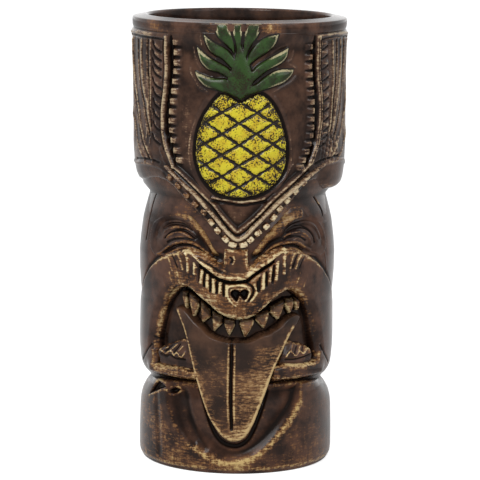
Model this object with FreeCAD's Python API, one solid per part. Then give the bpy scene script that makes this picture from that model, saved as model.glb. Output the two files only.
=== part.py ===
import FreeCAD, Part
import math
import os
from FreeCAD import Vector

# A slip-cast tiki mug. The drinking vessel is a turned cup, and the figure that it carries is laid on it
# mass by mass: base, arms, hands, tongue, teeth, face, headdress and pineapple. Each mass is one solid
# that seats on the turned wall, and its side walls run along Y, the way the two-part mould opens.
# Millimetres. +Z is up, the figure looks towards -Y, and the origin is the centre of the foot.

# The cup, from the foot up
foot_height = 3.0
foot_edge = 1.2
foot_ring = 6.5                 # width of the ring that the mug stands on
foot_recess = 1.5
waist_level = 30.7
waist_half = 2.4                # half the height of the waist groove
neck_level = 101.3
headdress_height = 60.2
rim_band = 5.5                  # height of the smooth band under the lip
lip_round = 2.7                 # on both sides of the lip
lip_steps = 2                   # facets in each rounding
floor_thickness = 6.0
floor_bevel = 5.0

# The cup, from the rim in
rim_radius = 40.0
head_depth = 3.0                # the cup behind the headdress is this much slimmer than the rim
face_depth = 4.0                # and behind the face and the base this much slimmer again
waist_depth = 1.5               # and at the waist groove again
wall = 3.0                      # least thickness of the turned cup behind the figure

headdress_top = neck_level + headdress_height
height = headdress_top + rim_band
head_ground = rim_radius - head_depth
face_ground = head_ground - face_depth
waist_radius = face_ground - waist_depth

# How far each mass stands out from the cup behind it
base_relief = 3.2
scoop_skin = 1.0                # what the scoop leaves of the base
figure_relief = 3.4
figure_shift = 1.8              # the front of the figure is turned about an axis this far forward
tongue_relief = 6.0
muzzle_relief = 6.6
nose_relief = 5.8
eye_relief = 5.6
teeth_relief = 3.6
hand_relief = 4.6
headdress_relief = 2.5
point_relief = 2.0              # of the headdress's point
brow_relief = 0.9               # of the brow band and its beads, from the point that carries them
fruit_relief = 2.9
crown_relief = 2.7

# Roundings of the masses' fronts
tongue_crown = 28.0
tongue_thinning = 1.8           # the tip lies this much closer to the mug than the root
muzzle_round = 34.0
muzzle_fall = 1.5               # its top and bottom lie this much further in
eye_round = 20.0
eye_fall = 1.5
fruit_round = 25.0
fruit_fall = 2.0

# Places of the face and the tongue
muzzle_drop = 31.0              # from the neck down to the muzzle
point_drop = 17.3               # from the neck down to the headdress's point
eye_rise = 18.0                 # from the muzzle up to the eyes
tongue_drop = 20.1              # from the muzzle down to the tongue's root
tongue_lift = 9.5               # from the foot up to the tongue's tip
nose_left = -5.0
nose_right = 4.2

# Sizes of the repeated and narrow features
tooth_point = 4.0
finger_width = 3.4
finger_count = 4
knuckle_rise = 1.2
bead_length = 2.4
bead_width = 1.8
bead_count = 9
brow_width = 1.4
groove_width = 1.6              # of the groove down the tongue
groove_depth = 1.0
leaf_width = 4.6

# Outlines are drawn on the mug's skin unrolled at this radius: (distance round from the front, height).
wrap_radius = rim_radius - 2.0
quarter = wrap_radius * math.pi / 2     # from the front round to the mug's side
clear = 60.0                            # longer than any mass is deep


def unrolled(around, up):
    """A point of an outline, seen from the front."""
    return Vector(wrap_radius * math.sin(around / wrap_radius), 0, up)


def upright(out, up):
    """A point of an upright plane: (distance from the mug's axis, height)."""
    return Vector(out, 0, up)


def drawn(place, start, *stretches):
    """A closed face: one following point makes a straight side, two make an arc that ends at the second."""
    edges = []
    corner = start
    for points in stretches + ([start],):
        spots = [place(*corner)] + [place(*point) for point in points]
        if len(spots) > 2:
            edges.append(Part.Arc(*spots).toShape())
        elif spots[0].distanceToPoint(spots[1]) > 1e-6:
            edges.append(Part.makeLine(*spots))
        corner = points[-1]
    return Part.Face(Part.Wire(edges))


def turned(start, *stretches):
    """A solid turned about the mug's axis from (radius, height) points."""
    return drawn(upright, start, *stretches).revolve(Vector(), Vector(0, 0, 1), 360)


def pulled(start, *stretches):
    """A block with the drawn outline and walls along the mould's pull, over the front half."""
    return drawn(unrolled, start, *stretches).extrude(Vector(0, -clear, 0))


def mirrored(points):
    return [(-around, up) for around, up in points]


def drum(radius):
    """A cylinder about the mug's axis, taller than the mug."""
    return Part.makeCylinder(radius, height + 2 * clear, Vector(0, 0, -clear))


def barrel(level, half_height, radius, fall, reach, around=0.0):
    """A barrel whose belly stands at the given reach and whose ends taper back from it."""
    top = level + half_height
    bottom = level - half_height
    form = turned(
        (0, bottom), [(radius - fall, bottom)], [(radius, level - half_height / 3)],
        [(radius, level + half_height / 3)], [(radius - fall, top)], [(0, top)],
    )
    form.translate(Vector(0, radius - reach, 0))
    form.rotate(Vector(), Vector(0, 0, 1), math.degrees(around / wrap_radius))
    return form


def less(mass, *others):
    """The mass where none of the others is."""
    for other in others:
        mass = mass.cut(other)
    return mass


def lip(edge_radius, inward):
    """Profile points that round the lip from a wall to its crest."""
    points = []
    for step in range(lip_steps + 1):
        turn = math.pi / 2 * step / lip_steps
        radius = edge_radius + inward * lip_round * (1 - math.cos(turn))
        points.append([(radius, height - lip_round * (1 - math.sin(turn)))])
    return points


# The cup: a turned outside, a straight cavity that widens above the neck, and a rounded lip
foot_radius = face_ground + base_relief
head_step = neck_level + face_depth
cavity_radius = waist_radius - wall
mouth_radius = head_ground - wall
outside = turned(
    (0, foot_recess), [(foot_radius - foot_ring, foot_recess)], [(foot_radius - foot_ring, 0)],
    [(foot_radius - foot_edge, 0)], [(foot_radius, foot_edge)], [(foot_radius, foot_height)],
    [(face_ground, foot_height)], [(face_ground, waist_level - waist_half)], [(waist_radius, waist_level)],
    [(face_ground, waist_level + waist_half)], [(face_ground, neck_level)], [(head_ground, head_step)],
    [(head_ground, headdress_top)], [(rim_radius, headdress_top)], *lip(rim_radius, -1), [(0, height)],
)
cavity = turned(
    (0, floor_thickness), [(cavity_radius - floor_bevel, floor_thickness)],
    [(cavity_radius, floor_thickness + floor_bevel)], [(cavity_radius, neck_level - 1)],
    [(mouth_radius, head_step + 1)], *lip(mouth_radius, 1), [(0, height)],
)
cup = outside.cut(cavity)

# The base: a turned block on the foot, scooped out in front under the tongue
base_top = waist_level - waist_half
base = turned(
    (0, foot_height), [(foot_radius, foot_height)], [(foot_radius, base_top - 5.5)],
    [(face_ground, base_top)], [(0, base_top)],
)
scoop_foot = foot_height + 2.0
scoop = pulled(
    (-31, base_top + 1), [(-19.5, scoop_foot + 6.5), (0, scoop_foot)],
    [(18.5, scoop_foot + 9.5), (29.5, base_top + 1)],
)
base_block = less(base, scoop.cut(drum(face_ground + scoop_skin)), outside)

# The figure's skin between waist and neck, turned; its front half stands further forward
figure_foot = waist_level + waist_half
figure_reach = face_ground + figure_relief
figure = turned(
    (0, figure_foot), [(face_ground, figure_foot)], [(figure_reach, figure_foot + 5)],
    [(figure_reach, neck_level - 16)], [(face_ground, neck_level)], [(0, neck_level)],
)
front = figure.translated(Vector(0, -figure_shift, 0))
behind = Part.makeBox(4 * clear, 2 * clear, height, Vector(-2 * clear, 0, 0))
back_of_figure = less(figure.common(behind), outside)

# The headdress: a ring all round, drawn down to a point over the nose, with a recess in front
headdress_reach = head_ground + headdress_relief
point_reach = head_ground + point_relief
point_level = neck_level - point_drop
ring = turned(
    (0, neck_level + 1), [(face_ground + 1, neck_level + 1)], [(headdress_reach - 2.4, neck_level + 3.6)],
    [(headdress_reach, neck_level + 12)], [(headdress_reach, headdress_top)], [(0, headdress_top)],
)
headdress_point = pulled(
    (-36, neck_level + 5.2), [(-22, neck_level - 0.6), (-10, point_level + 5.5)],
    [(0, point_level), (10, point_level + 5.5)], [(22, neck_level - 0.6), (36, neck_level + 5.2)],
    [(36, neck_level + 12)], [(-36, neck_level + 12)],
).common(drum(point_reach))
panel_top = headdress_top + 1.0
panel = pulled(
    (-26.5, panel_top), [(-28.8, neck_level + 35), (-24.5, neck_level + 12)],
    [(-16, neck_level + 2.2), (-8, neck_level - 4.3)], [(0, neck_level - 10.3), (8, neck_level - 4.3)],
    [(16, neck_level + 2.2), (27, neck_level + 12)], [(31.8, neck_level + 35), (29, panel_top)],
)
headdress = less(ring.fuse(headdress_point), outside, panel.cut(drum(head_ground))).removeSplitter()

# The pineapple in the recess: an egg-shaped fruit under a crown of pointed leaves
fruit_level = neck_level + 20.7
fruit_top = fruit_level + 18.3
fruit_outline = pulled(
    (-6, fruit_top), [(-13, fruit_level + 9), (-15.4, fruit_level - 4)],
    [(-11.5, fruit_level - 15), (0.8, fruit_level - 18.5)],
    [(13, fruit_level - 15), (16.9, fruit_level - 4)], [(14.5, fruit_level + 9.5), (7, fruit_top)],
    [(0.5, fruit_top - 1.8)],
)
fruit_form = barrel(fruit_level, 22, fruit_round, fruit_fall, head_ground + fruit_relief)
fruit = less(fruit_outline.common(fruit_form), headdress, outside)

# The crown fills the recess from the fruit to the rim band: heights are shares of what is there
crown_level = fruit_top + 1.0
crown_height = headdress_top - crown_level
leaf_tips = [(-15, 0.4), (-14.3, 0.82), (-12, 1.04), (13, 1.05), (16.7, 0.79), (19, 0.42)]
leaf_roots = [(-4, 0.17), (-3, 0.52), (-2, 0.74), (3.5, 0.69), (4.5, 0.45), (6, 0.17)]


def in_crown(around, share):
    """A point of the crown, at a share of its height."""
    return around, crown_level + share * crown_height


def leaf(root, tip):
    """A pointed leaf, widest near its root."""
    root_at = Vector(*in_crown(*root), 0)
    tip_at = Vector(*in_crown(*tip), 0)
    along = tip_at - root_at
    side = Vector(-along.y, along.x, 0).normalize() * (leaf_width / 2)
    shoulder = root_at + along * 0.45
    upper = shoulder + side
    lower = shoulder - side
    return pulled((root_at.x, root_at.y), [(upper.x, upper.y)], [(tip_at.x, tip_at.y)], [(lower.x, lower.y)])


leaves = pulled(
    in_crown(-9, 0.02), [in_crown(0.5, -0.07), in_crown(9, 0.02)], [in_crown(6, 0.45)], [in_crown(3, 0.84)],
    [in_crown(0, 0.99)], [in_crown(-3, 0.84)], [in_crown(-6, 0.45)],
)
for root, tip in zip(leaf_roots, leaf_tips):
    leaves = leaves.fuse(leaf(root, tip))
upright_leaf = pulled((-7, headdress_top), [in_crown(-1.5, 0.7)], [(5.5, headdress_top)])
leaves = leaves.fuse(upright_leaf).common(drum(head_ground + crown_relief))
crown = less(leaves, headdress, outside, fruit).removeSplitter()

# The brow band: a ridge that follows the headdress's point, with a row of beads under it
brow_reach = point_reach + brow_relief
brow_line = [(-28, 8.7), (-15, 0.8), (-5.5, -10), (0, -13.2), (5.5, -10), (15, 0.8), (28, 8.7)]
upper_edge = [(around, neck_level + up + brow_width / 2) for around, up in brow_line]
lower_edge = [(around, neck_level + up - brow_width / 2) for around, up in reversed(brow_line)]
brow = pulled(
    upper_edge[0], upper_edge[1:2], upper_edge[2:3], upper_edge[3:5], upper_edge[5:6], upper_edge[6:],
    lower_edge[:1], lower_edge[1:2], lower_edge[2:3], lower_edge[3:5], lower_edge[5:6], lower_edge[6:],
)
brow_band = brow.common(drum(brow_reach)).cut(drum(point_reach))

bead_line = [(2.2, -15.6), (7.8, -10.8), (14, -5), (21, 0.6), (28, 4.8)]
bead_curve = Part.BSplineCurve()
bead_curve.interpolate([Vector(around, neck_level + up, 0) for around, up in bead_line])


def bead(at, along, side):
    """A small block standing on the headdress's edge, turned along the row."""
    block = Part.makeBox(bead_length, brow_reach - point_reach, bead_width,
                         Vector(-bead_length / 2, -brow_reach, -bead_width / 2))
    slope = math.degrees(math.atan2(along.y, along.x))
    block.rotate(Vector(), Vector(0, -1, 0), side * slope)
    block.translate(Vector(0, 0, at.y))
    block.rotate(Vector(), Vector(0, 0, 1), math.degrees(side * at.x / wrap_radius))
    return block


beads = []
row = bead_curve.toShape()
for step in range(bead_count):
    place = row.getParameterByLength(row.Length * step / (bead_count - 1))
    for side in (-1, 1):
        beads.append(bead(row.valueAt(place), row.tangentAt(place), side))
brow_beads = Part.makeCompound(beads)

# The muzzle: the full upper lip, from the nose ridge down to the lip's edge over the teeth
muzzle_level = neck_level - muzzle_drop
muzzle_outline = pulled(
    (-20, muzzle_level + 12.8), [(-9.5, muzzle_level + 8), (0, muzzle_level + 3.8)],
    [(10, muzzle_level + 9.8), (19, muzzle_level + 13.8)], [(21, muzzle_level - 0.3)],
    [(15.3, muzzle_level - 3), (10, muzzle_level - 7.2)], [(0, muzzle_level - 12), (-10, muzzle_level - 7)],
    [(-15.5, muzzle_level - 2.3), (-21, muzzle_level + 0.5)],
)
muzzle_form = barrel(muzzle_level, 18, muzzle_round, muzzle_fall, face_ground + muzzle_relief)
muzzle = less(muzzle_outline.common(muzzle_form), outside)

# The tongue: hangs from the mouth over the hands and the scooped base, with a groove down its middle
tongue_root = muzzle_level - tongue_drop
tongue_tip = foot_height + tongue_lift
tongue_length = tongue_root - tongue_tip
neck_of_tongue = tongue_tip + 0.74 * tongue_length
tongue_outline = pulled(
    (-24.5, tongue_root + 10), [(-12, tongue_root + 3.2), (0, tongue_root)],
    [(12, tongue_root + 3.4), (24.8, tongue_root + 7.5)],
    [(19.5, tongue_root - 0.8), (15.4, neck_of_tongue)], [(9, tongue_tip + 0.28 * tongue_length)],
    [(-0.8, tongue_tip), (-10, tongue_tip + 0.23 * tongue_length)], [(-16.5, neck_of_tongue)],
    [(-20.2, tongue_root + 0.8), (-24.5, tongue_root + 10)],
)


def tapered(crown):
    """The tongue's rounded front, thinning towards its tip."""
    axis = Vector(0, tongue_crown - face_ground - tongue_relief, 0)
    return Part.makeCone(crown - tongue_thinning, crown, tongue_root + 12, axis)


tongue_form = tapered(tongue_crown)
groove_middle = -1.7
groove_end = tongue_tip + 6.5
groove = pulled(
    (groove_middle - groove_width / 2, tongue_root + 1), [(groove_middle - groove_width / 3, groove_end)],
    [(groove_middle + groove_width / 3, groove_end)], [(groove_middle + groove_width / 2, tongue_root + 1)],
)
groove_floor = tapered(tongue_crown - groove_depth)
tongue = less(tongue_outline.common(tongue_form), outside, base_block, groove.cut(groove_floor))

# The teeth: pointed, in a row under the lip's edge, each given as (left, right, tip, tip's drop)
tooth_sizes = [
    (-22.5, -18.2, -21.8, 9.5), (-18.5, -15.2, -18, 11), (-15, -10.5, -14, 13), (-10, -6, -9, 15),
    (-5.5, -1, -3.5, 17.3), (1.2, 7, 3.2, 17.9), (7.8, 13.5, 11, 15), (14, 19.8, 17.8, 11.8),
]
teeth = []
for left, right, tip, drop in tooth_sizes:
    shoulder_level = muzzle_level - drop + tooth_point
    tooth = pulled((left, muzzle_level), [(left, shoulder_level)], [(tip, muzzle_level - drop)],
                   [(right, shoulder_level)], [(right, muzzle_level)])
    teeth.append(less(tooth.common(drum(face_ground + teeth_relief)), outside, muzzle, tongue))
upper_teeth = Part.makeCompound(teeth)

# The arms: bent round the mouth's recess, with the forearms level and the hands standing on them
forearm_top = waist_level + 12.3
knuckle_level = forearm_top + 2.3
shoulder = [(-quarter, muzzle_level - 11.5), (-40, muzzle_level + 4), (-20, muzzle_level + 12.7)]


def arm(side):
    """One arm: shoulder beside the muzzle, elbow at the mug's side, forearm to the tongue."""
    outline = [
        shoulder[:1], shoulder[1:], [(-21, muzzle_level + 0.5)],
        [(-32, muzzle_level - 6.3), (-36.5, waist_level + 19.3)],
        [(-36, forearm_top)], [(-17, forearm_top)], [(-14, waist_level + 5)],
        [(-26, waist_level + 4), (-40, figure_foot)], [(-quarter, figure_foot)],
    ]
    if side > 0:
        outline = [mirrored(points) for points in outline]
    return less(pulled(outline[0][0], *outline[1:]).common(front), outside, tongue, muzzle)


left_arm = arm(-1)
right_arm = arm(1)


def hand(side, middle):
    """Fingers side by side, standing on the forearm with their knuckles up."""
    width = finger_count * finger_width
    knuckles = []
    for number in range(finger_count):
        left = number * finger_width - width / 2
        knuckles.append([(left + finger_width / 2, knuckle_level + knuckle_rise)])
        knuckles.append([(left + finger_width, knuckle_level)])
    outline = drawn(upright, (-width / 2, forearm_top - 1), [(-width / 2, knuckle_level)], *knuckles,
                    [(width / 2, forearm_top - 1)])
    block = outline.extrude(Vector(0, -face_ground - hand_relief, 0))
    block.rotate(Vector(), Vector(0, 0, 1), math.degrees(side * middle / wrap_radius))
    return less(block, outside, left_arm if side < 0 else right_arm, tongue)


left_hand = hand(-1, 28.6)
right_hand = hand(1, 28.2)

# The nose bridge and the heavy-lidded eyes, between the headdress's point and the muzzle
nose_outline = pulled(
    (nose_left, muzzle_level), [(nose_left, point_level + 1)], [(nose_right, point_level + 1)],
    [(nose_right, muzzle_level)],
)
nose_form = nose_outline.common(drum(face_ground + nose_relief))
nose_bridge = less(nose_form, outside, headdress, muzzle, brow_beads)
eye_level = muzzle_level + eye_rise


def eye(side):
    """A closed eye: a long mound that falls towards the nose."""
    outline = [
        [(-37, eye_level + 1.5)], [(-24, eye_level + 5.4), (-10, eye_level - 6)],
        [(-22, eye_level - 3.2), (-34, eye_level - 5.2)],
    ]
    if side > 0:
        outline = [mirrored(points) for points in outline]
    eye_form = barrel(eye_level, 8, eye_round, eye_fall, face_ground + eye_relief, side * 23)
    return less(pulled(outline[0][0], *outline[1:]).common(eye_form), outside, headdress, muzzle)


left_eye = eye(-1)
right_eye = eye(1)


def cheek(side, *neighbours):
    """The side of the face, from the nose round to the mug's side."""
    outline = [
        shoulder[:1], shoulder[1:], [(nose_left, muzzle_level + 2)], [(nose_left, neck_level + 3)],
        [(-quarter, neck_level + 3)],
    ]
    if side > 0:
        outline = [mirrored(points) for points in outline]
    block = pulled(outline[0][0], *outline[1:])
    return less(block.common(front), outside, headdress, muzzle, nose_bridge, *neighbours)


left_cheek = cheek(-1, left_arm, left_eye)
right_cheek = cheek(1, right_arm, right_eye)

nodes = {
    "cup_wall": cup,
    "base_block": base_block,
    "back_of_figure": back_of_figure,
    "left_arm": left_arm,
    "right_arm": right_arm,
    "left_hand": left_hand,
    "right_hand": right_hand,
    "tongue": tongue,
    "upper_teeth": upper_teeth,
    "muzzle": muzzle,
    "nose_bridge": nose_bridge,
    "left_eye": left_eye,
    "right_eye": right_eye,
    "left_cheek": left_cheek,
    "right_cheek": right_cheek,
    "headdress": headdress,
    "brow_band": brow_band,
    "brow_beads": brow_beads,
    "pineapple": fruit,
    "pineapple_crown": crown,
}
os.makedirs("parts", exist_ok=True)
for name, shape in nodes.items():
    shape.exportStep(f"parts/{name}.step")
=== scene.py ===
import math
import bmesh
import bpy
import numpy as np
from mathutils import Matrix, Vector


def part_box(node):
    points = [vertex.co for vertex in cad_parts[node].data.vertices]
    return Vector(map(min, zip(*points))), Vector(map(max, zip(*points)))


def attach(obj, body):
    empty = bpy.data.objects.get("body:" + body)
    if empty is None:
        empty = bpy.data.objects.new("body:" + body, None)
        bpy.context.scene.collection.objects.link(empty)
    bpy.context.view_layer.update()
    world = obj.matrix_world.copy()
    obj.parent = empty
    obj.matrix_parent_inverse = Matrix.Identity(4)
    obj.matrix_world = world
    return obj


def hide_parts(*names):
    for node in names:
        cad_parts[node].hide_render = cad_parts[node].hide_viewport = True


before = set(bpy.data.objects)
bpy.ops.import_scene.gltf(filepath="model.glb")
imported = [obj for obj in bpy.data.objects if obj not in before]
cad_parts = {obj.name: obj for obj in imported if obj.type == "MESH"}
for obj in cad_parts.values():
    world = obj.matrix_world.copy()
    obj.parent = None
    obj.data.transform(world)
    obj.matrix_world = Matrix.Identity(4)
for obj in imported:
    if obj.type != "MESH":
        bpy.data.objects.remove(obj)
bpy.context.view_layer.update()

# The studio: a pale floor, a white surround that the glaze reflects, and two large soft lamps.
# The camera stands almost a metre away, a little above the rim, and looks slightly down.
scene = bpy.context.scene
scene.view_settings.view_transform = "Standard"
camera_place = Vector((0, -0.9681, 0.2328))
looks_down = 8.86
leans = 0.66
camera_lens = bpy.data.cameras.new("camera")
camera_lens.lens = 195
camera_lens.shift_x = 0.0058
camera = bpy.data.objects.new("camera", camera_lens)
turned = Matrix.Rotation(math.radians(90 - looks_down), 4, "X")
turned = turned @ Matrix.Rotation(math.radians(leans), 4, "Z")
camera.matrix_world = Matrix.Translation(camera_place) @ turned
scene.collection.objects.link(camera)
scene.camera = camera

surround_light = 0.4
surround_seen = 1.0
world = bpy.data.worlds.new("surround")
world.use_nodes = True
scene.world = world
world_nodes = world.node_tree.nodes
world_links = world.node_tree.links
background = world_nodes["Background"]
background.inputs["Color"].default_value = (1, 1, 1, 1)
rays = world_nodes.new("ShaderNodeLightPath")
seen = world_nodes.new("ShaderNodeMath")
seen.operation = "MAXIMUM"
world_links.new(rays.outputs["Is Camera Ray"], seen.inputs[0])
world_links.new(rays.outputs["Is Glossy Ray"], seen.inputs[1])
strength = world_nodes.new("ShaderNodeMapRange")
strength.inputs["To Min"].default_value = surround_light
strength.inputs["To Max"].default_value = surround_seen
world_links.new(seen.outputs[0], strength.inputs["Value"])
world_links.new(strength.outputs[0], background.inputs["Strength"])
mug_middle = 0.08


def lamp(name, place, size, power):
    """A square soft lamp that faces the middle of the mug."""
    light = bpy.data.lights.new(name, "AREA")
    light.energy = power
    light.size = size
    holder = bpy.data.objects.new(name, light)
    aim = Vector((0, 0, mug_middle)) - Vector(place)
    turn = aim.to_track_quat("-Z", "Y").to_matrix().to_4x4()
    holder.matrix_world = Matrix.Translation(place) @ turn
    scene.collection.objects.link(holder)


lamp("key_lamp", place=(-0.45, -0.75, 0.85), size=0.45, power=7.7)
lamp("fill_lamp", place=(0.7, -0.6, 0.55), size=0.5, power=2.8)

floor_half_width = 3
floor_grey = 0.86
floor_seen_glow = 0.7
floor_mesh = bpy.data.meshes.new("floor")
floor_shape = bmesh.new()
bmesh.ops.create_grid(floor_shape, x_segments=2, y_segments=2, size=floor_half_width)
floor_shape.to_mesh(floor_mesh)
floor_shape.free()
floor = bpy.data.objects.new("floor", floor_mesh)
scene.collection.objects.link(floor)
floor_paint = bpy.data.materials.new("floor_paint")
floor_paint.use_nodes = True
floor_shader = floor_paint.node_tree.nodes["Principled BSDF"]
floor_shader.inputs["Base Color"].default_value = (floor_grey, floor_grey, floor_grey, 1)
floor_shader.inputs["Roughness"].default_value = 0.8
floor_shader.inputs["Emission Color"].default_value = (1, 1, 1, 1)
floor_glow = floor_paint.node_tree.nodes.new("ShaderNodeMapRange")
floor_glow.inputs["To Max"].default_value = floor_seen_glow
floor_rays = floor_paint.node_tree.nodes.new("ShaderNodeLightPath")
floor_paint.node_tree.links.new(floor_rays.outputs["Is Camera Ray"], floor_glow.inputs["Value"])
floor_paint.node_tree.links.new(floor_glow.outputs[0], floor_shader.inputs["Emission Strength"])
floor_mesh.materials.append(floor_paint)


# The cup: one slip-cast vessel with a rounded lip, a straight inside and a foot ring, dipped in brown
# glaze. All the carving stands on it. Its wall shows at the lip, inside, in the waist and in the mouth.
mm = 0.001
rim_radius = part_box("cup_wall")[1][0] / mm
mug_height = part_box("cup_wall")[1][2] / mm
lip_width = 6.0
lip_edge = 0.6


def colour(red, green, blue):
    """A glaze's colour from its 0 to 255 values, in the shader's linear light."""
    parts = []
    for part in (red, green, blue):
        share = part / 255
        parts.append(share / 12.92 if share <= 0.04045 else ((share + 0.055) / 1.055) ** 2.4)
    return (*parts, 1.0)


def effect_group(name, given, put):
    """A new effect: its node tree, its inputs and its outputs, each named with its kind."""
    tree = bpy.data.node_groups.new(name, "ShaderNodeTree")
    for direction, sockets in (("INPUT", given), ("OUTPUT", put)):
        for socket, kind in sockets.items():
            tree.interface.new_socket(name=socket, in_out=direction, socket_type="NodeSocket" + kind)
    return tree, tree.nodes.new("NodeGroupInput").outputs, tree.nodes.new("NodeGroupOutput").inputs


def fed(tree, sockets, values):
    """Links each socket to another one, or sets it to a plain value."""
    for socket, value in zip(sockets, values):
        if isinstance(value, bpy.types.NodeSocket):
            tree.links.new(value, socket)
        else:
            socket.default_value = value


def noise(tree, scale, detail, roughness, stretch=None):
    """Noise over the piece, stretched where a brush or a cloth went across it."""
    place = tree.nodes.new("ShaderNodeTexCoord").outputs["Object"]
    if stretch:
        mapping = tree.nodes.new("ShaderNodeMapping")
        fed(tree, (mapping.inputs["Vector"], mapping.inputs["Scale"]), (place, stretch))
        place = mapping.outputs[0]
    texture = tree.nodes.new("ShaderNodeTexNoise")
    fed(tree, [texture.inputs[name] for name in ("Vector", "Scale", "Detail", "Roughness")],
        (place, scale, detail, roughness))
    return texture.outputs["Fac"]


def worked(tree, operation, *values):
    """A Math node on sockets or plain numbers."""
    node = tree.nodes.new("ShaderNodeMath")
    node.operation = operation
    fed(tree, node.inputs, values)
    return node.outputs[0]


def ranged(tree, value, low, high):
    """0 below low, 1 above high, smooth between."""
    node = tree.nodes.new("ShaderNodeMapRange")
    node.interpolation_type = "SMOOTHSTEP"
    fed(tree, [node.inputs[name] for name in ("Value", "From Min", "From Max")], (value, low, high))
    return node.outputs[0]


def mixed(tree, share, first, second):
    """The first colour, with a share of the second over it."""
    node = tree.nodes.new("ShaderNodeMix")
    node.data_type = "RGBA"
    fed(tree, (node.inputs["Factor"], node.inputs[6], node.inputs[7]), (share, first, second))
    return node.outputs[2]


def wiped_glaze():
    """The dip that is wiped off while wet: thin and tan on crests, thick and dark in hollows, and dark
    under painted shade.
    """
    tree, given, put = effect_group(
        "wiped_glaze",
        {"Crest": "Float", "Hollow": "Float", "Smear": "Float", "Dark": "Color", "Body": "Color",
         "Thin": "Color", "Wiped": "Color", "Cloud": "Float", "Fibre": "Float", "Dull": "Float"},
        {"Colour": "Color", "Roughness": "Float", "Coat": "Float", "Height": "Float"})
    cloud = noise(tree, 95, 4, 0.6)
    mottle = noise(tree, 620, 5, 0.65)
    brush = ranged(tree, noise(tree, 330, 5, 0.7, (1.0, 1.0, 5.0)), 0.36, 0.64)
    fibre = ranged(tree, noise(tree, 420, 3, 0.6, (2.2, 2.2, 0.35)), 0.38, 0.62)
    grain = noise(tree, 1900, 3, 0.6)
    upright = worked(tree, "MULTIPLY", worked(tree, "SUBTRACT", fibre, 0.5), given["Fibre"])
    brushed = worked(tree, "MULTIPLY_ADD", brush, 0.5, upright)
    texture = worked(tree, "ADD", brushed, worked(tree, "MULTIPLY_ADD", grain, 0.6, mottle))

    mask = worked(tree, "ADD", given["Crest"], given["Smear"])
    kept = worked(tree, "MINIMUM", worked(tree, "MAXIMUM", mask, 0.0), 1.0)
    uneven = worked(tree, "MULTIPLY_ADD", kept, 1.1, 0.95)
    worn = worked(tree, "MULTIPLY_ADD", worked(tree, "SUBTRACT", texture, 1.07), uneven, mask)
    worn = worked(tree, "MULTIPLY_ADD", worked(tree, "SUBTRACT", cloud, 0.5), 1.2, worn)
    bare = ranged(tree, worn, 0.45, 1.3)

    clouded = ranged(tree, worked(tree, "ADD", cloud, given["Cloud"]), 0.35, 0.68)
    body = mixed(tree, clouded, given["Dark"], given["Body"])
    thinned = mixed(tree, ranged(tree, worn, 0.08, 0.62), body, given["Thin"])
    painted = mixed(tree, bare, thinned, given["Wiped"])
    # the hollow mask darkens where the glaze pools and where shade is painted
    pool_and_shade = worked(tree, "MULTIPLY", given["Hollow"], 0.95)
    matt = worked(tree, "MULTIPLY_ADD", mottle, 0.12, 0.14)
    shine = worked(tree, "MULTIPLY_ADD", given["Hollow"], -0.85, 0.95)
    depth = worked(tree, "MULTIPLY_ADD", bare, 0.8, 0.2)
    fed(tree, [put[name] for name in ("Colour", "Roughness", "Coat", "Height")],
        (mixed(tree, pool_and_shade, painted, colour(17, 10, 7)),
         worked(tree, "MULTIPLY_ADD", bare, 0.25, matt),
         worked(tree, "MAXIMUM", worked(tree, "SUBTRACT", shine, given["Dull"]), 0.0),
         worked(tree, "MULTIPLY", depth, texture)))
    return tree


def glazed(name, effect, masks, settings, relief_depth):
    """A material whose colour and bump come from an effect, which reads the piece's painted masks."""
    material = bpy.data.materials.new(name)
    material.use_nodes = True
    tree = material.node_tree
    finish = tree.nodes.new("ShaderNodeGroup")
    finish.node_tree = effect
    for mask in masks:
        reading = tree.nodes.new("ShaderNodeAttribute")
        reading.attribute_name = mask.lower()
        tree.links.new(reading.outputs["Fac"], finish.inputs[mask])
    for setting, value in settings.items():
        finish.inputs[setting].default_value = value
    bump = tree.nodes.new("ShaderNodeBump")
    bump.inputs["Strength"].default_value = 0.3
    bump.inputs["Distance"].default_value = relief_depth
    shader = tree.nodes["Principled BSDF"]
    tree.links.new(finish.outputs["Colour"], shader.inputs["Base Color"])
    tree.links.new(finish.outputs["Height"], bump.inputs["Height"])
    tree.links.new(bump.outputs["Normal"], shader.inputs["Normal"])
    return material, finish, shader


glaze_group = wiped_glaze()


def brown_glaze(name, dark=(34, 20, 14), body=(82, 54, 40), thin=(122, 82, 46), wiped=(204, 178, 128),
                cloud=0.0, fibre=0.22):
    """The wiped brown glaze, under a clear glossy coat."""
    material, finish, shader = glazed(
        name, glaze_group, ("Crest", "Hollow", "Smear", "Dull"),
        {"Dark": colour(*dark), "Body": colour(*body), "Thin": colour(*thin), "Wiped": colour(*wiped),
         "Cloud": cloud, "Fibre": fibre}, 0.3 * mm)
    material.node_tree.links.new(finish.outputs["Roughness"], shader.inputs["Roughness"])
    material.node_tree.links.new(finish.outputs["Coat"], shader.inputs["Coat Weight"])
    shader.inputs["Specular IOR Level"].default_value = 0.08
    shader.inputs["Coat IOR"].default_value = 1.23
    shader.inputs["Coat Roughness"].default_value = 0.05
    return material


def limited(value):
    """The value, kept between 0 and 1."""
    return min(max(value, 0), 1)


def placed(name, shape, material, sharp=180):
    """An object at the origin from a finished mesh in metres."""
    mesh = bpy.data.meshes.new(name)
    shape.to_mesh(mesh)
    shape.free()
    mesh.materials.append(material)
    for face in mesh.polygons:
        face.use_smooth = True
    if sharp < 180:
        mesh.set_sharp_from_angle(angle=math.radians(sharp))
    piece = bpy.data.objects.new(name, mesh)
    scene.collection.objects.link(piece)
    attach(piece, "root")
    return piece


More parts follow.
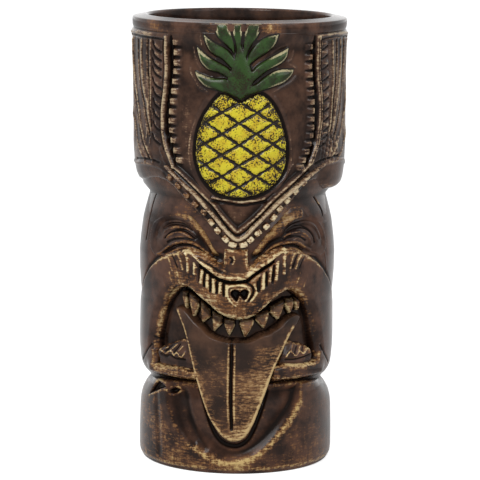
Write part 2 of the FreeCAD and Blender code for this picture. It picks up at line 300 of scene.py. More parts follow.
def spun(profile, steps):
    """A solid of revolution from (radius, height) points in mm, first and last on the axis."""
    shape = bmesh.new()
    line = [shape.verts.new((out * mm, 0, up * mm)) for out, up in profile]
    edges = [shape.edges.new(pair) for pair in zip(line, line[1:])]
    bmesh.ops.spin(shape, geom=line + edges, cent=(0, 0, 0), axis=(0, 0, 1), angle=2 * math.pi,
                   steps=steps, use_merge=True)
    bmesh.ops.remove_doubles(shape, verts=shape.verts, dist=1e-6)
    bmesh.ops.recalc_face_normals(shape, faces=shape.faces)
    return shape


def rounded(middle, radius, start, end, steps):
    """Profile points of an arc about a middle, between two angles in degrees."""
    points = []
    for step in range(steps + 1):
        turn = math.radians(start + (end - start) * step / steps)
        points.append((middle[0] + radius * math.cos(turn), middle[1] + radius * math.sin(turn)))
    return points


inside_radius = rim_radius - lip_width
cup_profile = [(0, 1.6), (28.6, 1.6)]
cup_profile += rounded((31.2, 1.2), 1.2, 180, 270, 4)
cup_profile += rounded((34.2, 1.2), 1.2, 270, 360, 4)
cup_profile += [(35.4, 2.0), (33, 3.2), (33, 26), (31.2, 28.5), (31.2, 36.5), (33, 38.5), (33, 68),
                (33, 101)]
cup_profile += [(35.5, 104), (36.6, 108), (36.6, 134), (36.6, 159)]
cup_profile += [(rim_radius - 1.2, mug_height - 5.6), (rim_radius - 0.5, mug_height - 4.8)]
cup_profile += [(rim_radius - 0.2, mug_height - 3.9), (rim_radius - 0.1, mug_height - 2.6)]
cup_profile += rounded((rim_radius - 0.15 - lip_edge, mug_height - 0.8 - lip_edge), lip_edge, 4, 80, 6)
cup_profile += [(rim_radius - 2.4, mug_height - 0.5), (inside_radius + 1.4, mug_height - 0.06)]
cup_profile += rounded((inside_radius + 1.1, mug_height - 1.1), 1.1, 92, 176, 7)
cup_profile += [(inside_radius - 0.1, mug_height - 8), (inside_radius, 130), (inside_radius, 108)]
cup_profile += rounded((inside_radius - 5.5, 106), 5.5, 0, -60, 5)
cup_profile += [(28.6, 97), (28.5, 60), (28.5, 13)]
cup_profile += rounded((22.5, 12), 6.0, 0, -90, 6)
cup_profile += [(11, 6), (0, 6)]
cup_shape = spun(cup_profile, steps=192)
cup_painted_shade = cup_shape.verts.layers.float.new("hollow")
cup_crest = cup_shape.verts.layers.float.new("crest")
cup_smear = cup_shape.verts.layers.float.new("smear")
cup_dull = cup_shape.verts.layers.float.new("dull")
rust_patches = [(-10.4, 1.8, 0.55), (11.2, 3.2, 0.6), (-30, 6, 0.25)]
# the lip is duller in front with rust patches under it; the inner and hidden walls are painted dark as
# shade, the inside more so below the lip
for vert in cup_shape.verts:
    out = math.hypot(vert.co.x, vert.co.y) / mm
    up = vert.co.z / mm
    vert[cup_crest] = -0.15
    across = vert.co.x / mm
    if up > mug_height - 1.4 and inside_radius < out < rim_radius - 1.6 and vert.co.y < 0:
        vert[cup_dull] = 0.85 * limited((34 - abs(across)) / 12)
    if mug_height - 6 < up < mug_height - 0.5 and out > rim_radius - 2 and vert.co.y < 0:
        for middle, spread, amount in rust_patches:
            vert[cup_smear] += amount * math.exp(-((across - middle) / spread) ** 2)
    if out > 30.9 and 3 < up < 102:
        vert[cup_painted_shade] = 0.62
    elif out < inside_radius + 0.1 and up > 7:
        vert[cup_painted_shade] = 0.35 + 0.65 * limited((mug_height - 1.2 - up) / 6.5)
cup_glaze = brown_glaze("cup_glaze", dark=(34, 21, 15), body=(92, 64, 50))
cup = placed("cup_wall_glazed", cup_shape, cup_glaze, sharp=40)
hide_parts("cup_wall")


# The base: a round block on the foot, scooped out in front under the tongue. The scoop's rim is worn
# to tan, and the top left corner is chipped, with a carved knot hole beside the chip.
sheet_radius = 38.0
half_round = math.pi * sheet_radius
cells_behind = 8


def drawn(points, steps=6):
    """A smooth line through given points of the unrolled skin: mm round from the front, mm up."""
    spots = np.array(points, float)
    if len(spots) < 3:
        return spots
    padded = np.vstack((2 * spots[0] - spots[1], spots, 2 * spots[-1] - spots[-2]))
    share = np.linspace(0, 1, steps, endpoint=False)[:, None]
    line = []
    for a, b, c, d in zip(padded, padded[1:], padded[2:], padded[3:]):
        line.append(0.5 * (2 * b + (c - a) * share + (2 * a - 5 * b + 4 * c - d) * share ** 2
                           + (3 * b - a - 3 * c + d) * share ** 3))
    line.append(spots[-1:])
    return np.vstack(line)


def joined(*lines):
    """One closed outline from lines that follow each other."""
    return np.vstack(lines)


def away(line, s, z, reach):
    """How far each point of the sheet lies from a line, up to reach."""
    near = (s > line[:, 0].min() - reach) & (s < line[:, 0].max() + reach)
    near &= (z > line[:, 1].min() - reach) & (z < line[:, 1].max() + reach)
    spots = np.stack((s[near], z[near]), -1)
    best = np.full(len(spots), float(reach))
    for a, b in zip(line[:-1], line[1:]):
        run = b - a
        share = np.clip((spots - a) @ run / max(run @ run, 1e-9), 0, 1)
        gap = spots - a - share[:, None] * run
        best = np.minimum(best, np.hypot(gap[:, 0], gap[:, 1]))
    found = np.full(s.shape, float(reach))
    found[near] = best
    return found


def within(outline, s, z, reach=5.0):
    """How far each point lies inside a closed outline; outside it is negative."""
    closed = np.vstack((outline, outline[:1]))
    depth = away(closed, s, z, reach)
    near = (s > closed[:, 0].min() - 1) & (s < closed[:, 0].max() + 1)
    near &= (z > closed[:, 1].min() - 1) & (z < closed[:, 1].max() + 1)
    round_at = s[near]
    up_at = z[near]
    inside = np.zeros(len(round_at), bool)
    for a, b in zip(closed[:-1], closed[1:]):
        if a[1] != b[1]:
            crossing = a[0] + (up_at - a[1]) * (b[0] - a[0]) / (b[1] - a[1])
            inside ^= ((a[1] > up_at) != (b[1] > up_at)) & (round_at < crossing)
    sign = -np.ones(s.shape)
    sign[near] = np.where(inside, 1, -1)
    return depth * sign


def ease(value, low, high):
    """0 at low, 1 at high, smooth between."""
    share = np.clip((value - low) / (high - low), 0, 1)
    return share * share * (3 - 2 * share)


def read_off(value, points):
    """The amount at each value, on straight lines through (value, amount) points."""
    return np.interp(value, *zip(*points))


def ridge(line, s, z, half):
    """A rounded ridge along a line: 1 on the line, 0 at half its width."""
    return np.cos(np.clip(away(line, s, z, half + 0.5) / half, 0, 1) * math.pi / 2) ** 2


def spot(s, z, middle, spread):
    """A soft round patch: 1 in its middle, fading over its spread along and up the sheet."""
    return np.exp(-((s - middle[0]) / spread[0]) ** 2 - ((z - middle[1]) / spread[1]) ** 2)


def softened(field, cells):
    """The field blurred over a number of cells, both along and up the sheet."""
    reach = int(cells * 2.5) + 1
    weights = np.exp(-0.5 * (np.arange(-reach, reach + 1) / cells) ** 2)
    weights /= weights.sum()
    for axis in (0, 1):
        margin = [(0, 0), (0, 0)]
        margin[axis] = (reach, reach)
        wide = np.pad(field, margin, mode="edge")
        length = field.shape[axis]
        total = np.zeros_like(field)
        for shift, weight in enumerate(weights):
            cut = [slice(None), slice(None)]
            cut[axis] = slice(shift, shift + length)
            total += weight * wide[tuple(cut)]
        field = total
    return field


def spaced(low, high, fine, coarse=None):
    """Places along the sheet: fine steps, or coarse ones behind the front. As many as cells_behind of
    them make one step of the hidden back."""
    front = 62.0
    if coarse is None:
        return np.linspace(low, high, cells_behind * max(1, round((high - low) / fine / cells_behind)) + 1)
    sides = cells_behind * max(1, round((high - front) / coarse / cells_behind))
    middle = cells_behind * max(1, round(2 * front / fine / cells_behind))
    return np.concatenate((np.linspace(low, -front, sides, endpoint=False),
                           np.linspace(-front, front, middle, endpoint=False),
                           np.linspace(front, high, sides + 1)))


def drawn_in(turn, radius):
    """Turns the sheet's angle a little towards the front where the skin stands proud of the sheet, so
    that carving keeps its width across the front."""
    pull = np.clip(sheet_radius / radius, 0.95, 1.015)
    straight = np.arcsin(np.clip(pull * np.sin(np.clip(turn, -1.4, 1.4)), -0.9999, 0.9999))
    return turn + (straight - turn) * (1 - ease(np.abs(turn), 0.9, 1.4)) * (np.abs(turn) < 1.4)


def relief(name, around, rise, carve, behind, material, whole_turn=False):
    """A closed tile of carved skin. carve(s, z) gives the radius at each point of the sheet and a
    dictionary of paint masks, and behind(z) gives the radius of the tile's hidden back."""
    columns = len(around) - 1
    rows = len(rise) - 1
    s, z = np.meshgrid(around, rise)
    out, paint = carve(s, z)
    step = rise[1] - rise[0]
    glaze_blur, fine_blur, broad_blur = 0.16, 0.55, 1.8
    out = softened(out, glaze_blur / step)
    fine = softened(out, fine_blur / step)
    broad = softened(out, broad_blur / step)
    crest = np.clip((out - fine) / 0.14, 0, 1) * 0.4 + np.clip((out - broad) / 0.6, 0, 1) * 0.25
    hollow = np.clip((fine - out) / 0.16, 0, 1) * 0.5 + np.clip((broad - out) / 0.5, 0, 1)
    masks = {"crest": crest, "hollow": np.clip(hollow, 0, 1), "smear": np.zeros_like(out)}
    for mask, amount in paint.items():
        masks[mask] = masks.get(mask, 0) + amount

    # the hidden back lies at -1 and the carved front at 1, and they meet along the tile's edges at 0
    shape = bmesh.new()
    bmesh.ops.create_grid(shape, x_segments=columns // cells_behind, y_segments=rows // cells_behind,
                          size=0.5)
    rim = [edge for edge in shape.edges if edge.is_boundary]
    bmesh.ops.subdivide_edges(shape, edges=rim, cuts=cells_behind - 1)
    for vert in shape.verts:
        vert.co.z = -1
    front = bmesh.ops.create_grid(shape, x_segments=columns, y_segments=rows, size=0.5)["verts"]
    for vert in front:
        vert.co.z = 1
    for vert in shape.verts:
        at_side = not whole_turn and abs(vert.co.x) > 0.4999
        if at_side or abs(vert.co.y) > 0.4999:
            vert.co.z = 0
    mesh = bpy.data.meshes.new(name + "_flat")
    shape.to_mesh(mesh)
    where = np.empty(len(mesh.vertices) * 3)
    mesh.vertices.foreach_get("co", where)
    where = where.reshape(-1, 3)
    column = (where[:, 0] + 0.5) * columns
    row = (where[:, 1] + 0.5) * rows
    s_at = np.interp(column, np.arange(columns + 1), around)
    z_at = np.interp(row, np.arange(rows + 1), rise)
    near = (np.rint(row).astype(int), np.rint(column).astype(int))
    radius = np.where(where[:, 2] > 0.5, out[near], behind(z_at))
    turn = drawn_in(s_at / sheet_radius, broad[near])
    spots = np.stack((radius * np.sin(turn), -radius * np.cos(turn), z_at), -1) * mm
    mesh.vertices.foreach_set("co", spots.ravel())
    for mask, amount in masks.items():
        mesh.attributes.new(mask, "FLOAT", "POINT").data.foreach_set("value", amount[near])

    # the picture baked on the tile: a low strip for the back, and the rest for the front
    corners = np.empty(len(mesh.loops), int)
    mesh.loops.foreach_get("vertex_index", corners)
    starts = np.empty(len(mesh.polygons), int)
    mesh.polygons.foreach_get("loop_start", starts)
    sizes = np.diff(np.append(starts, len(corners)))
    is_back = np.repeat(np.minimum.reduceat(where[corners, 2], starts) < -0.5, sizes)
    margin, strip, front_from = 0.01, 0.1, 0.13
    scale = 0.97 / max(around[-1] - around[0], (rise[-1] - rise[0]) * 1.15)
    across = margin + (s_at[corners] - around[0]) * scale
    up = (z_at[corners] - rise[0]) * scale
    up = np.where(is_back, margin + up * strip, front_from + up)
    mesh.uv_layers.new(name="OFBake").data.foreach_set("uv", np.stack((across, up), -1).ravel())

    shape.clear()
    shape.from_mesh(mesh)
    bpy.data.meshes.remove(mesh)
    bmesh.ops.remove_doubles(shape, verts=shape.verts, dist=1e-7)
    bmesh.ops.recalc_face_normals(shape, faces=shape.faces)
    return placed(name, shape, material)


def sunk(z):
    """The radius of the hidden backs, inside the cup's wall."""
    return read_off(z, [(27, 31.6), (30, 29.9), (37, 29.9), (40, 31.6), (100, 31.6), (106, 35.4)])


def waist(s):
    """Where the groove between figure and base runs: higher in front, under the tongue."""
    return 30.9 + 3.2 * np.exp(-(s / 42) ** 4)


scoop_rim = drawn([(29.5, 34), (28.3, 28.5), (26.3, 23.9), (22.8, 19.6), (18.6, 15.3), (14.6, 11.4),
                   (10.3, 8), (6, 5.6), (0.7, 4), (-3.4, 3.8), (-7.6, 4.8), (-10.8, 6.2), (-14.1, 8.2),
                   (-17.6, 10.2), (-23, 14.2), (-27, 19.5), (-29.5, 25), (-30.5, 34)])
chip = joined([(-41.5, 25.8), (-38.6, 29.3), (-36.1, 31.6), (-33, 31.2), (-30, 30.4), (-35, 28.4)])
knot = joined([(-28.7, 29.1), (-27.5, 30), (-25.8, 30.3), (-23.7, 30.1), (-25.1, 29), (-26.7, 28.2),
               (-27.9, 28.3)])
nick = drawn([(-36.8, 17.6), (-38.6, 16.2), (-37.2, 15)])
flutes = [drawn([(-27.5, 30), (-26, 24), (-22, 16), (-17, 11)]),
          drawn([(-21.5, 30), (-20, 23), (-16.5, 15), (-12, 9.5)]),
          drawn([(-35.5, 27), (-34.5, 20), (-33.5, 12), (-33, 5)])]
chip_edges = [drawn([(-42.4, 25.2), (-38, 26.7), (-33, 28.3), (-29.6, 29.4)]),
              drawn([(-38.4, 30.6), (-36, 32.3), (-31, 31.7)]),
              drawn([(-28.3, 30.4), (-26.5, 31.2), (-24.8, 31.3), (-23.2, 30.6)]),
              drawn([(-24.6, 28.8), (-22.8, 29.6), (-20.6, 30.4)])]
tongue_shadow = drawn([(13, 30.5), (11, 24.3), (7.9, 17), (5.3, 12.9), (2.2, 10.8), (-1.4, 10.5),
                       (-5, 11.7), (-7.7, 14.2), (-9.8, 17.8), (-12.6, 25), (-14.4, 31)])

scoop_depth = 2.3
chip_depth = 1.6
knot_depth = 1.5


def carve_base(s, z):
    """The base's skin: rounded to the foot and to the waist, scooped under the tongue."""
    drop = waist(s) - z
    side = ease(np.abs(s), 34, 54)
    out = read_off(drop, [(-3, 31.0), (0, 31.4), (1.2, 32.3), (2.7, 33.6), (4.2, 34.5), (5.7, 35.2),
                          (8.2, 35.8), (10.7, 36.05), (20, 36.3)])
    full = read_off(drop, [(-3, 31.0), (-0.3, 31.6), (0.1, 33.0), (0.6, 34.3), (1.2, 34.9), (2.2, 35.4),
                           (4.2, 35.8), (8, 36.05), (20, 36.3)])
    out = full + (out - full) * side
    foot = read_off(z, [(0.7, 34.6), (1.0, 35.2), (1.6, 35.8), (2.6, 36.15), (4.0, 36.25), (6, 36.4)])
    out = np.minimum(out, foot)

    # the scoop, shallower on its left, with the flutes in it and the chip and the knot beside it
    scooped = within(scoop_rim, s, z, 9)
    left = ease(-s, -6, 14)
    edge = away(scoop_rim, s, z, 3)
    out = out - scoop_depth * ease(scooped, 0.2 - 0.8 * left, 4.0 + 3.0 * left)
    out = out + (0.14 - 0.12 * left) * (1 - ease(edge, 0.2, 2.4)) * (z < 30)
    out = out - 0.8 * ridge(tongue_shadow, s, z, 1.5)
    for line, depth in zip(flutes, (0.5, 0.55, 0.3)):
        out = out - depth * ridge(line, s, z, 2.4)
    chipped = within(chip, s, z)
    out = out - chip_depth * ease(chipped, -0.1, 0.5)
    hole = within(knot, s, z)
    out = out - knot_depth * ease(hole, -0.1, 0.5) + 0.35 * (1 - ease(np.abs(hole + 0.55), 0.15, 0.6))

    # worn to tan: the scoop's rim, the foot, the chip's edges and a few patches of the sides
    smear = 0.5 * (1 - ease(edge, 0.2, 1.9)) * ease(28.5 - z, 0, 3) * (1 - 0.8 * left * ease(z, 8, 12))
    smear = smear + 0.12 * ease(z, 2.2, 3.4) * (1 - ease(z, 6.5, 10)) * (1 - ease(np.abs(s + 8), 16, 26))
    smear = smear + 0.3 * (1 - ease(away(nick, s, z, 3), 0.3, 1.3))
    for line in chip_edges:
        smear = smear + 0.6 * (1 - ease(away(line, s, z, 3), 0.15, 0.7))
    smear = smear + 0.22 * ease(-s, 14, 24) * ease(z, 2, 5) * (1 - ease(z, 20, 29))
    smear = smear + 0.08 * ease(s, 12, 22) * ease(z, 2, 5) * (1 - ease(z, 12, 20))
    smear = smear + 0.34 * (1 - ease(np.abs(z - 2.2), 0.2, 0.7))
    smear = smear - 0.25 * ease(scooped, 1.5, 4)
    smear = smear + 0.3 * spot(s, z, (-27.5, 28.2), (6, 2))
    smear = smear - 0.3 * left * ease(z, 9, 14) * (np.abs(edge) < 2.9)
    shade = 0.8 * ridge(tongue_shadow, s, z, 1.7) + 0.9 * ease(chipped, -0.1, 0.4)
    shade = shade + 0.9 * ease(hole, -0.2, 0.3)
    shade = shade + 0.9 * (1 - ease(drop, 0.1, 0.7))
    return out, {"smear": smear, "hollow": np.clip(shade, 0, 1), "crest": -0.3 * ease(z, 24, 28),
                 "dull": 0.75 * ease(scooped, -0.5, 0.6) * (1 - ease(scooped, 5, 8))}


base_glaze = brown_glaze("base_glaze", thin=(118, 80, 48), wiped=(190, 162, 108), cloud=0.02)
base = relief("base_carved", spaced(-half_round, half_round, 0.34, 1.4), spaced(0.7, 34.5, 0.34),
              carve_base, sunk, base_glaze, whole_turn=True)
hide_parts("base_block")


# The figure: its back and sides are plain and rounded, in to the waist below and to the neck above.
# The back's edges lie just under the arms and cheeks, where the two halves of the mould met.
def figure(s, z):
    """The figure's skin between waist and neck, before any carving: fuller in front than behind."""
    low = z - (waist(s) - 30.9) * (1 - ease(z, 34, 46))
    out = read_off(low, [(29.5, 31.9), (30.7, 31.4), (32, 32.2), (33.5, 33.7), (35, 34.6), (36.5, 35.2),
                         (38.5, 35.5), (43, 35.9), (47, 36), (55, 35.9), (62, 35.8), (66, 36.2),
                         (72, 36.6), (79, 36.7), (84, 36.3), (88, 35.8), (91, 35.4), (94, 34.7),
                         (97, 33.9), (99.5, 33.2), (101.4, 32.6), (104, 32.4)])
    return out + 1.8 * np.cos(np.clip(s / sheet_radius, -math.pi / 2, math.pi / 2)) ** 2


def carve_back(s, z):
    """The back is plain: a hair under the front, and a little worn above the waist."""
    return figure(s, z) - 0.05, {"smear": 0.12 * ease(z, 32, 40)}


figure_glaze = brown_glaze("figure_glaze", body=(88, 60, 47))
back_edge = 58
back = relief("back_carved", spaced(back_edge, 2 * half_round - back_edge, 0.9), spaced(29.8, 104.0, 0.5),
              carve_back, sunk, figure_glaze)
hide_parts("back_of_figure")


# The arms: each shoulder comes down outside the mouth, bends at the elbow, and its forearm runs in to
# the tongue. The edge round the mouth and the top of the forearm are rolled and wiped to tan.
contour_line = [(-62, 56), (-56, 60), (-50, 64), (-45, 67.2), (-43.8, 68.4), (-41.1, 71.2), (-38, 74.2),
                (-34.9, 76.4), (-31.5, 78.6), (-28.1, 80), (-25.9, 81), (-23.7, 81.7), (-21.7, 82.2),
                (-19.2, 82.7), (-17, 82.8), (-14.1, 82.3), (-11.4, 81.4), (-9.1, 80.2), (-6.9, 78.7),
                (-5, 77.7), (-3, 76.6), (0, 76.2), (3, 76.5), (5.4, 77.8), (7.2, 79.8), (9.5, 81.2),
                (12, 82.5), (14.7, 83.3), (17.1, 83.9), (20.1, 83.4), (22.1, 82.9), (24.4, 82.1),
                (27.2, 80.8), (30.2, 79.4), (33.2, 77.5), (36.1, 75.6), (38.6, 73.3), (42, 70.8),
                (44.9, 68.3), (50, 64.6), (56, 60.5), (62, 57)]
mouth_line = [(-34.6, 39.2), (-34.9, 43.0), (-34.8, 46.5), (-34.2, 49.5), (-33.6, 52.0), (-33, 54.0),
              (-32.2, 55.8), (-31.7, 57.4), (-30.9, 59.0), (-29.8, 61.0), (-28.4, 63.0), (-26.9, 64.8),
              (-25.5, 66.1), (-24.1, 67.2), (-22.2, 68.2), (-20.2, 68.8), (-18.3, 68.6), (-16.9, 67.5),
              (-15.2, 66.1), (-13.1, 64.6), (-10.8, 63.0), (-8.9, 61.4), (-6.8, 59.9), (-4.5, 58.8),
              (-2.1, 58.1), (0.6, 57.7), (3.2, 57.8), (5.6, 58.5), (8.2, 59.8), (10.4, 61.5),
              (12.6, 63.4), (14.8, 65.2), (17.2, 66.7), (19, 67.7), (20.8, 68.0), (22.9, 67.1),
              (24.6, 66.0), (26.2, 64.4), (27.6, 62.8), (28.8, 61.2), (30, 59.2), (31.3, 56.4),
              (32.4, 53.5), (33.3, 50.0), (34.3, 46.4), (35.3, 43.3), (35.4, 41.4)]
forearm_line = [(33, 41), (30, 40.8), (24, 41), (18, 41.7), (10, 40.5), (0, 39.6), (-10, 39.2),
                (-18.7, 39.2), (-21, 39.6), (-25.7, 39.1), (-29.9, 38.9), (-33.5, 38.9)]
contour = drawn(contour_line, 4)
mouth = joined(drawn(mouth_line, 4), drawn(forearm_line, 4))
# a tile's radius where other pieces cover it
buried = 32.4


def cut_to(skin, depth, ground, roll):
    """The skin as far as its outline, rolled down to the ground there; beyond, a hidden flange."""
    share = np.clip(depth / roll, 0, 1)
    return np.where(depth > 0, ground + (skin - ground) * (1 - (1 - share) ** 2) ** 0.55, ground - 0.5)


def strokes(lines, s, z):
    """Carved lines, each (half width, height, smear, points). A height under 0 makes a groove."""
    lift = np.zeros_like(s)
    paint = {"smear": np.zeros_like(s), "hollow": np.zeros_like(s)}
    for half, height, worn, points in lines:
        shape = ridge(drawn(points), s, z, half)
        lift += height * shape
        paint["smear"] += worn * shape
        if height < 0:
            paint["hollow"] += 0.75 * shape
    return lift, paint


def contour_height(s):
    """How high the top edge of arms and muzzle runs."""
    return np.interp(s, contour[:, 0], contour[:, 1])


def lower_skin(s, z):
    """Arms and muzzle: a raised skin under the contour, full over the mouth, rolled round the mouth."""
    under = contour_height(s) - z
    middle = np.exp(-(s / 15.5) ** 4)
    raised = 0.45 + 0.65 * (1 - ease(np.abs(s), 42, 60))
    out = figure(s, z) + raised * ease(under, -0.3, 0.7)
    full = ease(under, 1.5, 8) * (1 - 0.5 * ease(under, 11, 17))
    out = out + middle * (0.8 * full - 0.3) * ease(z, 55, 60)

    # the forearm's roll above the waist, and the fall into the mouth
    forearm = 1 - ease(np.abs(np.abs(s) - 26), 10, 17)
    out = out + 1.7 * forearm * ease(z, 34.2, 35.2) * (1 - ease(z, 35.5, 39.5))
    out = out + 0.7 * forearm * ease(z, 35.0, 36.2) * (1 - ease(z, 38.6, 41.5))
    edge = -within(mouth, s, z, 6)
    out = out - 1.2 * (1 - ease(edge, 0, 5)) * (z > 44)
    out = cut_to(out, edge, 33, 1.9)

    # worn along the mouth, a painted highlight along the arms' contour, and brushed streaks beside the
    # muzzle
    worn = ease(edge, 0.1, 0.4) * (1 - ease(edge, 0.8, 2.0))
    left_edge = 0.22 * ease(-s, 20, 26) * ease(z, 48, 50)
    right_forearm = 0.5 * ease(s, 17, 20) * (z < 44)
    smear = worn * (0.12 + 0.45 * middle * (z > 50) + left_edge + right_forearm)
    # painted highlight: a thin pale line just under the contour of the arms
    top_line = (1 - ease(np.abs(under - 0.3), 0.1, 0.5)) * ease(np.abs(s), 20, 24)
    streaks = spot(np.abs(s), z, (23, 73.5), (6.5, 4.5)) * (1.5 - ease(s, -8, 8))
    smear = smear + 0.55 * top_line + 0.32 * streaks
    smear = smear - 0.3 * ease(np.abs(s), 24, 30) * ease(under, 0.6, 2) * (edge > 2.5)
    return out, smear


elbow_strokes = [
    (0.7, -0.7, 0, [(-36.1, 48.6), (-34.2, 47.4), (-32.2, 46)]),
    (0.7, -0.5, 0, [(-37.4, 45.6), (-40, 43.2), (-43, 40.8), (-47, 38.4)]),
    (0.4, 0.2, 0.45, [(-36.1, 46.8), (-36.2, 43.7), (-36.1, 41.9), (-35.9, 38.8)]),
    (0.5, 0.2, 0.45, [(-34.6, 38.6), (-29.9, 38.5), (-25.7, 38.6), (-21.6, 38.8), (-18.7, 38.5)]),
    (0.6, -0.5, 0, [(37.4, 46), (39.5, 43), (42.6, 40.6), (46.5, 38.2)]),
    (0.6, 0.2, 0.25, [(36.3, 46.4), (36.6, 43.3), (36.6, 40.7)]),
    (0.9, 0.0, 0.3, [(-31.2, 59.8), (-32.6, 57), (-33.4, 54), (-34.4, 51.5), (-35.3, 49)]),
    (0.55, -0.35, 0, [(-23.1, 69.6), (-25.8, 67.4), (-28.4, 64.8)]),
    (0.7, 0.3, 0.4, [(-18.8, 82.4), (-18.5, 79), (-18.4, 75.5)]),
    (0.75, 0.35, 0.45, [(-22.3, 81.8), (-21.6, 79), (-20.8, 76.3)]),
    (0.6, -0.4, 0, [(-20.5, 81.8), (-20.2, 79.6), (-20, 77.6)]),
    (0.6, 0.15, 0.35, [(-26.6, 79.6), (-26.2, 77), (-25.6, 75)]),
    (0.6, -0.3, 0, [(-24.6, 80.6), (-24, 78.4), (-23.2, 76.6)]),
    (0.45, 0.1, 0.4, [(-23.4, 75.4), (-22.6, 73), (-22, 71.2)]),
    (0.45, 0.1, 0.35, [(-27, 74.6), (-26, 72), (-24.8, 70)]),
    (0.45, 0.1, 0.3, [(-30.4, 72), (-29.4, 69.8), (-28, 67.6)]),
    (0.75, 0.35, 0.45, [(21.5, 82.1), (20.9, 79.6), (20.4, 77.2)]),
    (0.75, 0.35, 0.45, [(24.2, 81.3), (23.5, 79), (22.7, 76.6)]),
    (0.6, -0.4, 0, [(23, 81.7), (22.4, 79.4), (21.6, 77)]),
    (0.6, -0.3, 0, [(26, 80.8), (25.4, 78.6), (24.6, 76.8)]),
    (0.45, 0.1, 0.4, [(25, 75.4), (24.2, 73), (23.2, 71)]),
    (0.45, 0.1, 0.35, [(28.6, 73.6), (27.6, 71.4), (26.4, 69.4)]),
    (0.6, 0.1, 0.3, [(-34, 34.7), (-30.8, 34.6), (-25.8, 34.3), (-21.4, 34.7), (-16.5, 34.6)]),
    (0.6, 0.1, 0.3, [(15.8, 36.2), (18.8, 36), (22.9, 35.3), (27.5, 34.7), (31.7, 34.2)]),
]


def carve_arm(s, z):
    """An arm: the lower skin with its strokes, tucked in under the waist and behind the cheek."""
    out, worn = lower_skin(s, z)
    lift, paint = strokes(elbow_strokes, s, z)
    above = z - contour_height(s)
    out = np.where(above > 1.0, buried, out + lift * (out > 33.2))
    out = out - (out - 30.6) * ease(waist(s) - 0.3 - z, 0, 0.7)

    # less worn beside the mouth and at the elbows, and painted shade along the waist
    paint["smear"] += worn + 0.06
    paint["crest"] = -0.25 - 0.35 * ease(s, 20, 26) * ease(z, 42, 46) * (1 - ease(z, 60, 64))
    paint["crest"] -= 0.3 * ease(np.abs(s), 32.5, 34) * ease(z, 38, 40) * (1 - ease(z, 48, 52))
    paint["crest"] -= 0.34 * ease(-s, 22, 27) * ease(z, 48, 52) * (1 - ease(z, 62, 66))
    paint["hollow"] += 0.9 * (1 - ease(z - waist(s), 0.2, 1.1))
    return out, paint


side_reach = 61.5
for name, low, high in (("left_arm", -side_reach, -14), ("right_arm", 14, side_reach)):
    arm = relief(name + "_carved", spaced(low, high, 0.31), spaced(29.8, 85.5, 0.31), carve_arm, sunk,
                 figure_glaze)
    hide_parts(name)


# The cheeks and brow: the sides of the face between the arms and the headdress. They swell over the
# closed eyes, sink towards the nose, and each has a thin crease in front of the ear's place.
crease_strokes = [
    (0.6, -0.7, 0, [(-41.3, 105), (-42.3, 102), (-42.7, 99), (-42.9, 94.5)]),
    (0.6, -0.7, 0, [(36.7, 101.5), (38.7, 98.6), (40.6, 96.2), (41.2, 94)]),
    (0.45, 0.2, 0.4, [(38.6, 99.6), (40.2, 97.8), (41.6, 95.6)]),
    (0.8, -0.3, 0, [(-42.9, 94.5), (-43.6, 90), (-44.2, 84)]),
    (1.3, -0.45, 0, [(-50, 65.4), (-45.6, 68.9), (-40, 73.7), (-34, 78.4), (-27, 82), (-21, 83.6)]),
    (1.3, -0.45, 0, [(50, 66), (44, 70.6), (38, 75.4), (32, 79.8), (26, 82.8), (22, 84)]),
    (0.6, 0.35, 0.3, [(-31.5, 80.8), (-29.6, 82.3), (-27.8, 83.2)]),
    (0.6, 0.3, 0.3, [(-29.1, 83.7), (-27.6, 84.6), (-26.2, 85.4)]),
    (0.55, 0.3, 0.25, [(26, 83.5), (31, 81.8), (36, 80)]),
    (0.45, 0.2, 0.45, [(39.6, 80.6), (40.9, 77), (41.8, 73.6)]),
]
socket_left = joined(drawn([(-8, 81), (-13, 81.2), (-20, 81.8), (-26, 81.2), (-31, 80), (-35, 81.6),
                            (-36.6, 85), (-35.4, 89), (-33.5, 91.3), (-31.6, 92.8), (-29.1, 93.6),
                            (-25.8, 94.1), (-23.2, 93.9), (-20.9, 93.1), (-18.8, 92), (-16.9, 90.5),
                            (-14.9, 89), (-12.9, 86.9), (-11.1, 84.7), (-9.6, 82.8)], 4))
socket_right = joined(drawn([(7.5, 81.5), (9.4, 83.8), (12, 86.4), (15, 88), (18, 89.8), (19.8, 92),
                             (21.8, 92.9), (24.3, 93.6), (27.2, 93.9), (30.1, 93.8), (33.3, 93.1),
                             (35.8, 91.3), (37.6, 89.4), (38.8, 87.6), (39.3, 85), (38.6, 82.6),
                             (35.5, 80.8), (30, 80.8), (22, 82), (14, 81.6)], 4))
socket_depth = 1.5
pit_depth = 0.6


def upper_skin(s, z):
    """Cheeks, eyes and bridge: swollen at the sides and over the eyes, sunk round the eyes."""
    out = figure(s, z)
    out = out + 0.6 * spot(np.abs(s), z, (33, 97), (13, 4.5))
    middle = np.exp(-(s / 17) ** 4)
    out = out - 1.3 * middle * (1 - 0.4 * ease(z, 86, 92))
    for socket in (socket_left, socket_right):
        depth = within(socket, s, z, 5)
        out = out - socket_depth * ease(depth, -1.6, 1.5) * (1 - 0.75 * ease(np.abs(s), 27, 35))
    return out


def pits(s, z):
    """The two dark pits beside the bridge of the nose."""
    return np.exp(-((np.abs(s) - 7.2) / 2.2) ** 4 - ((z - 81.3) / 1.5) ** 4)


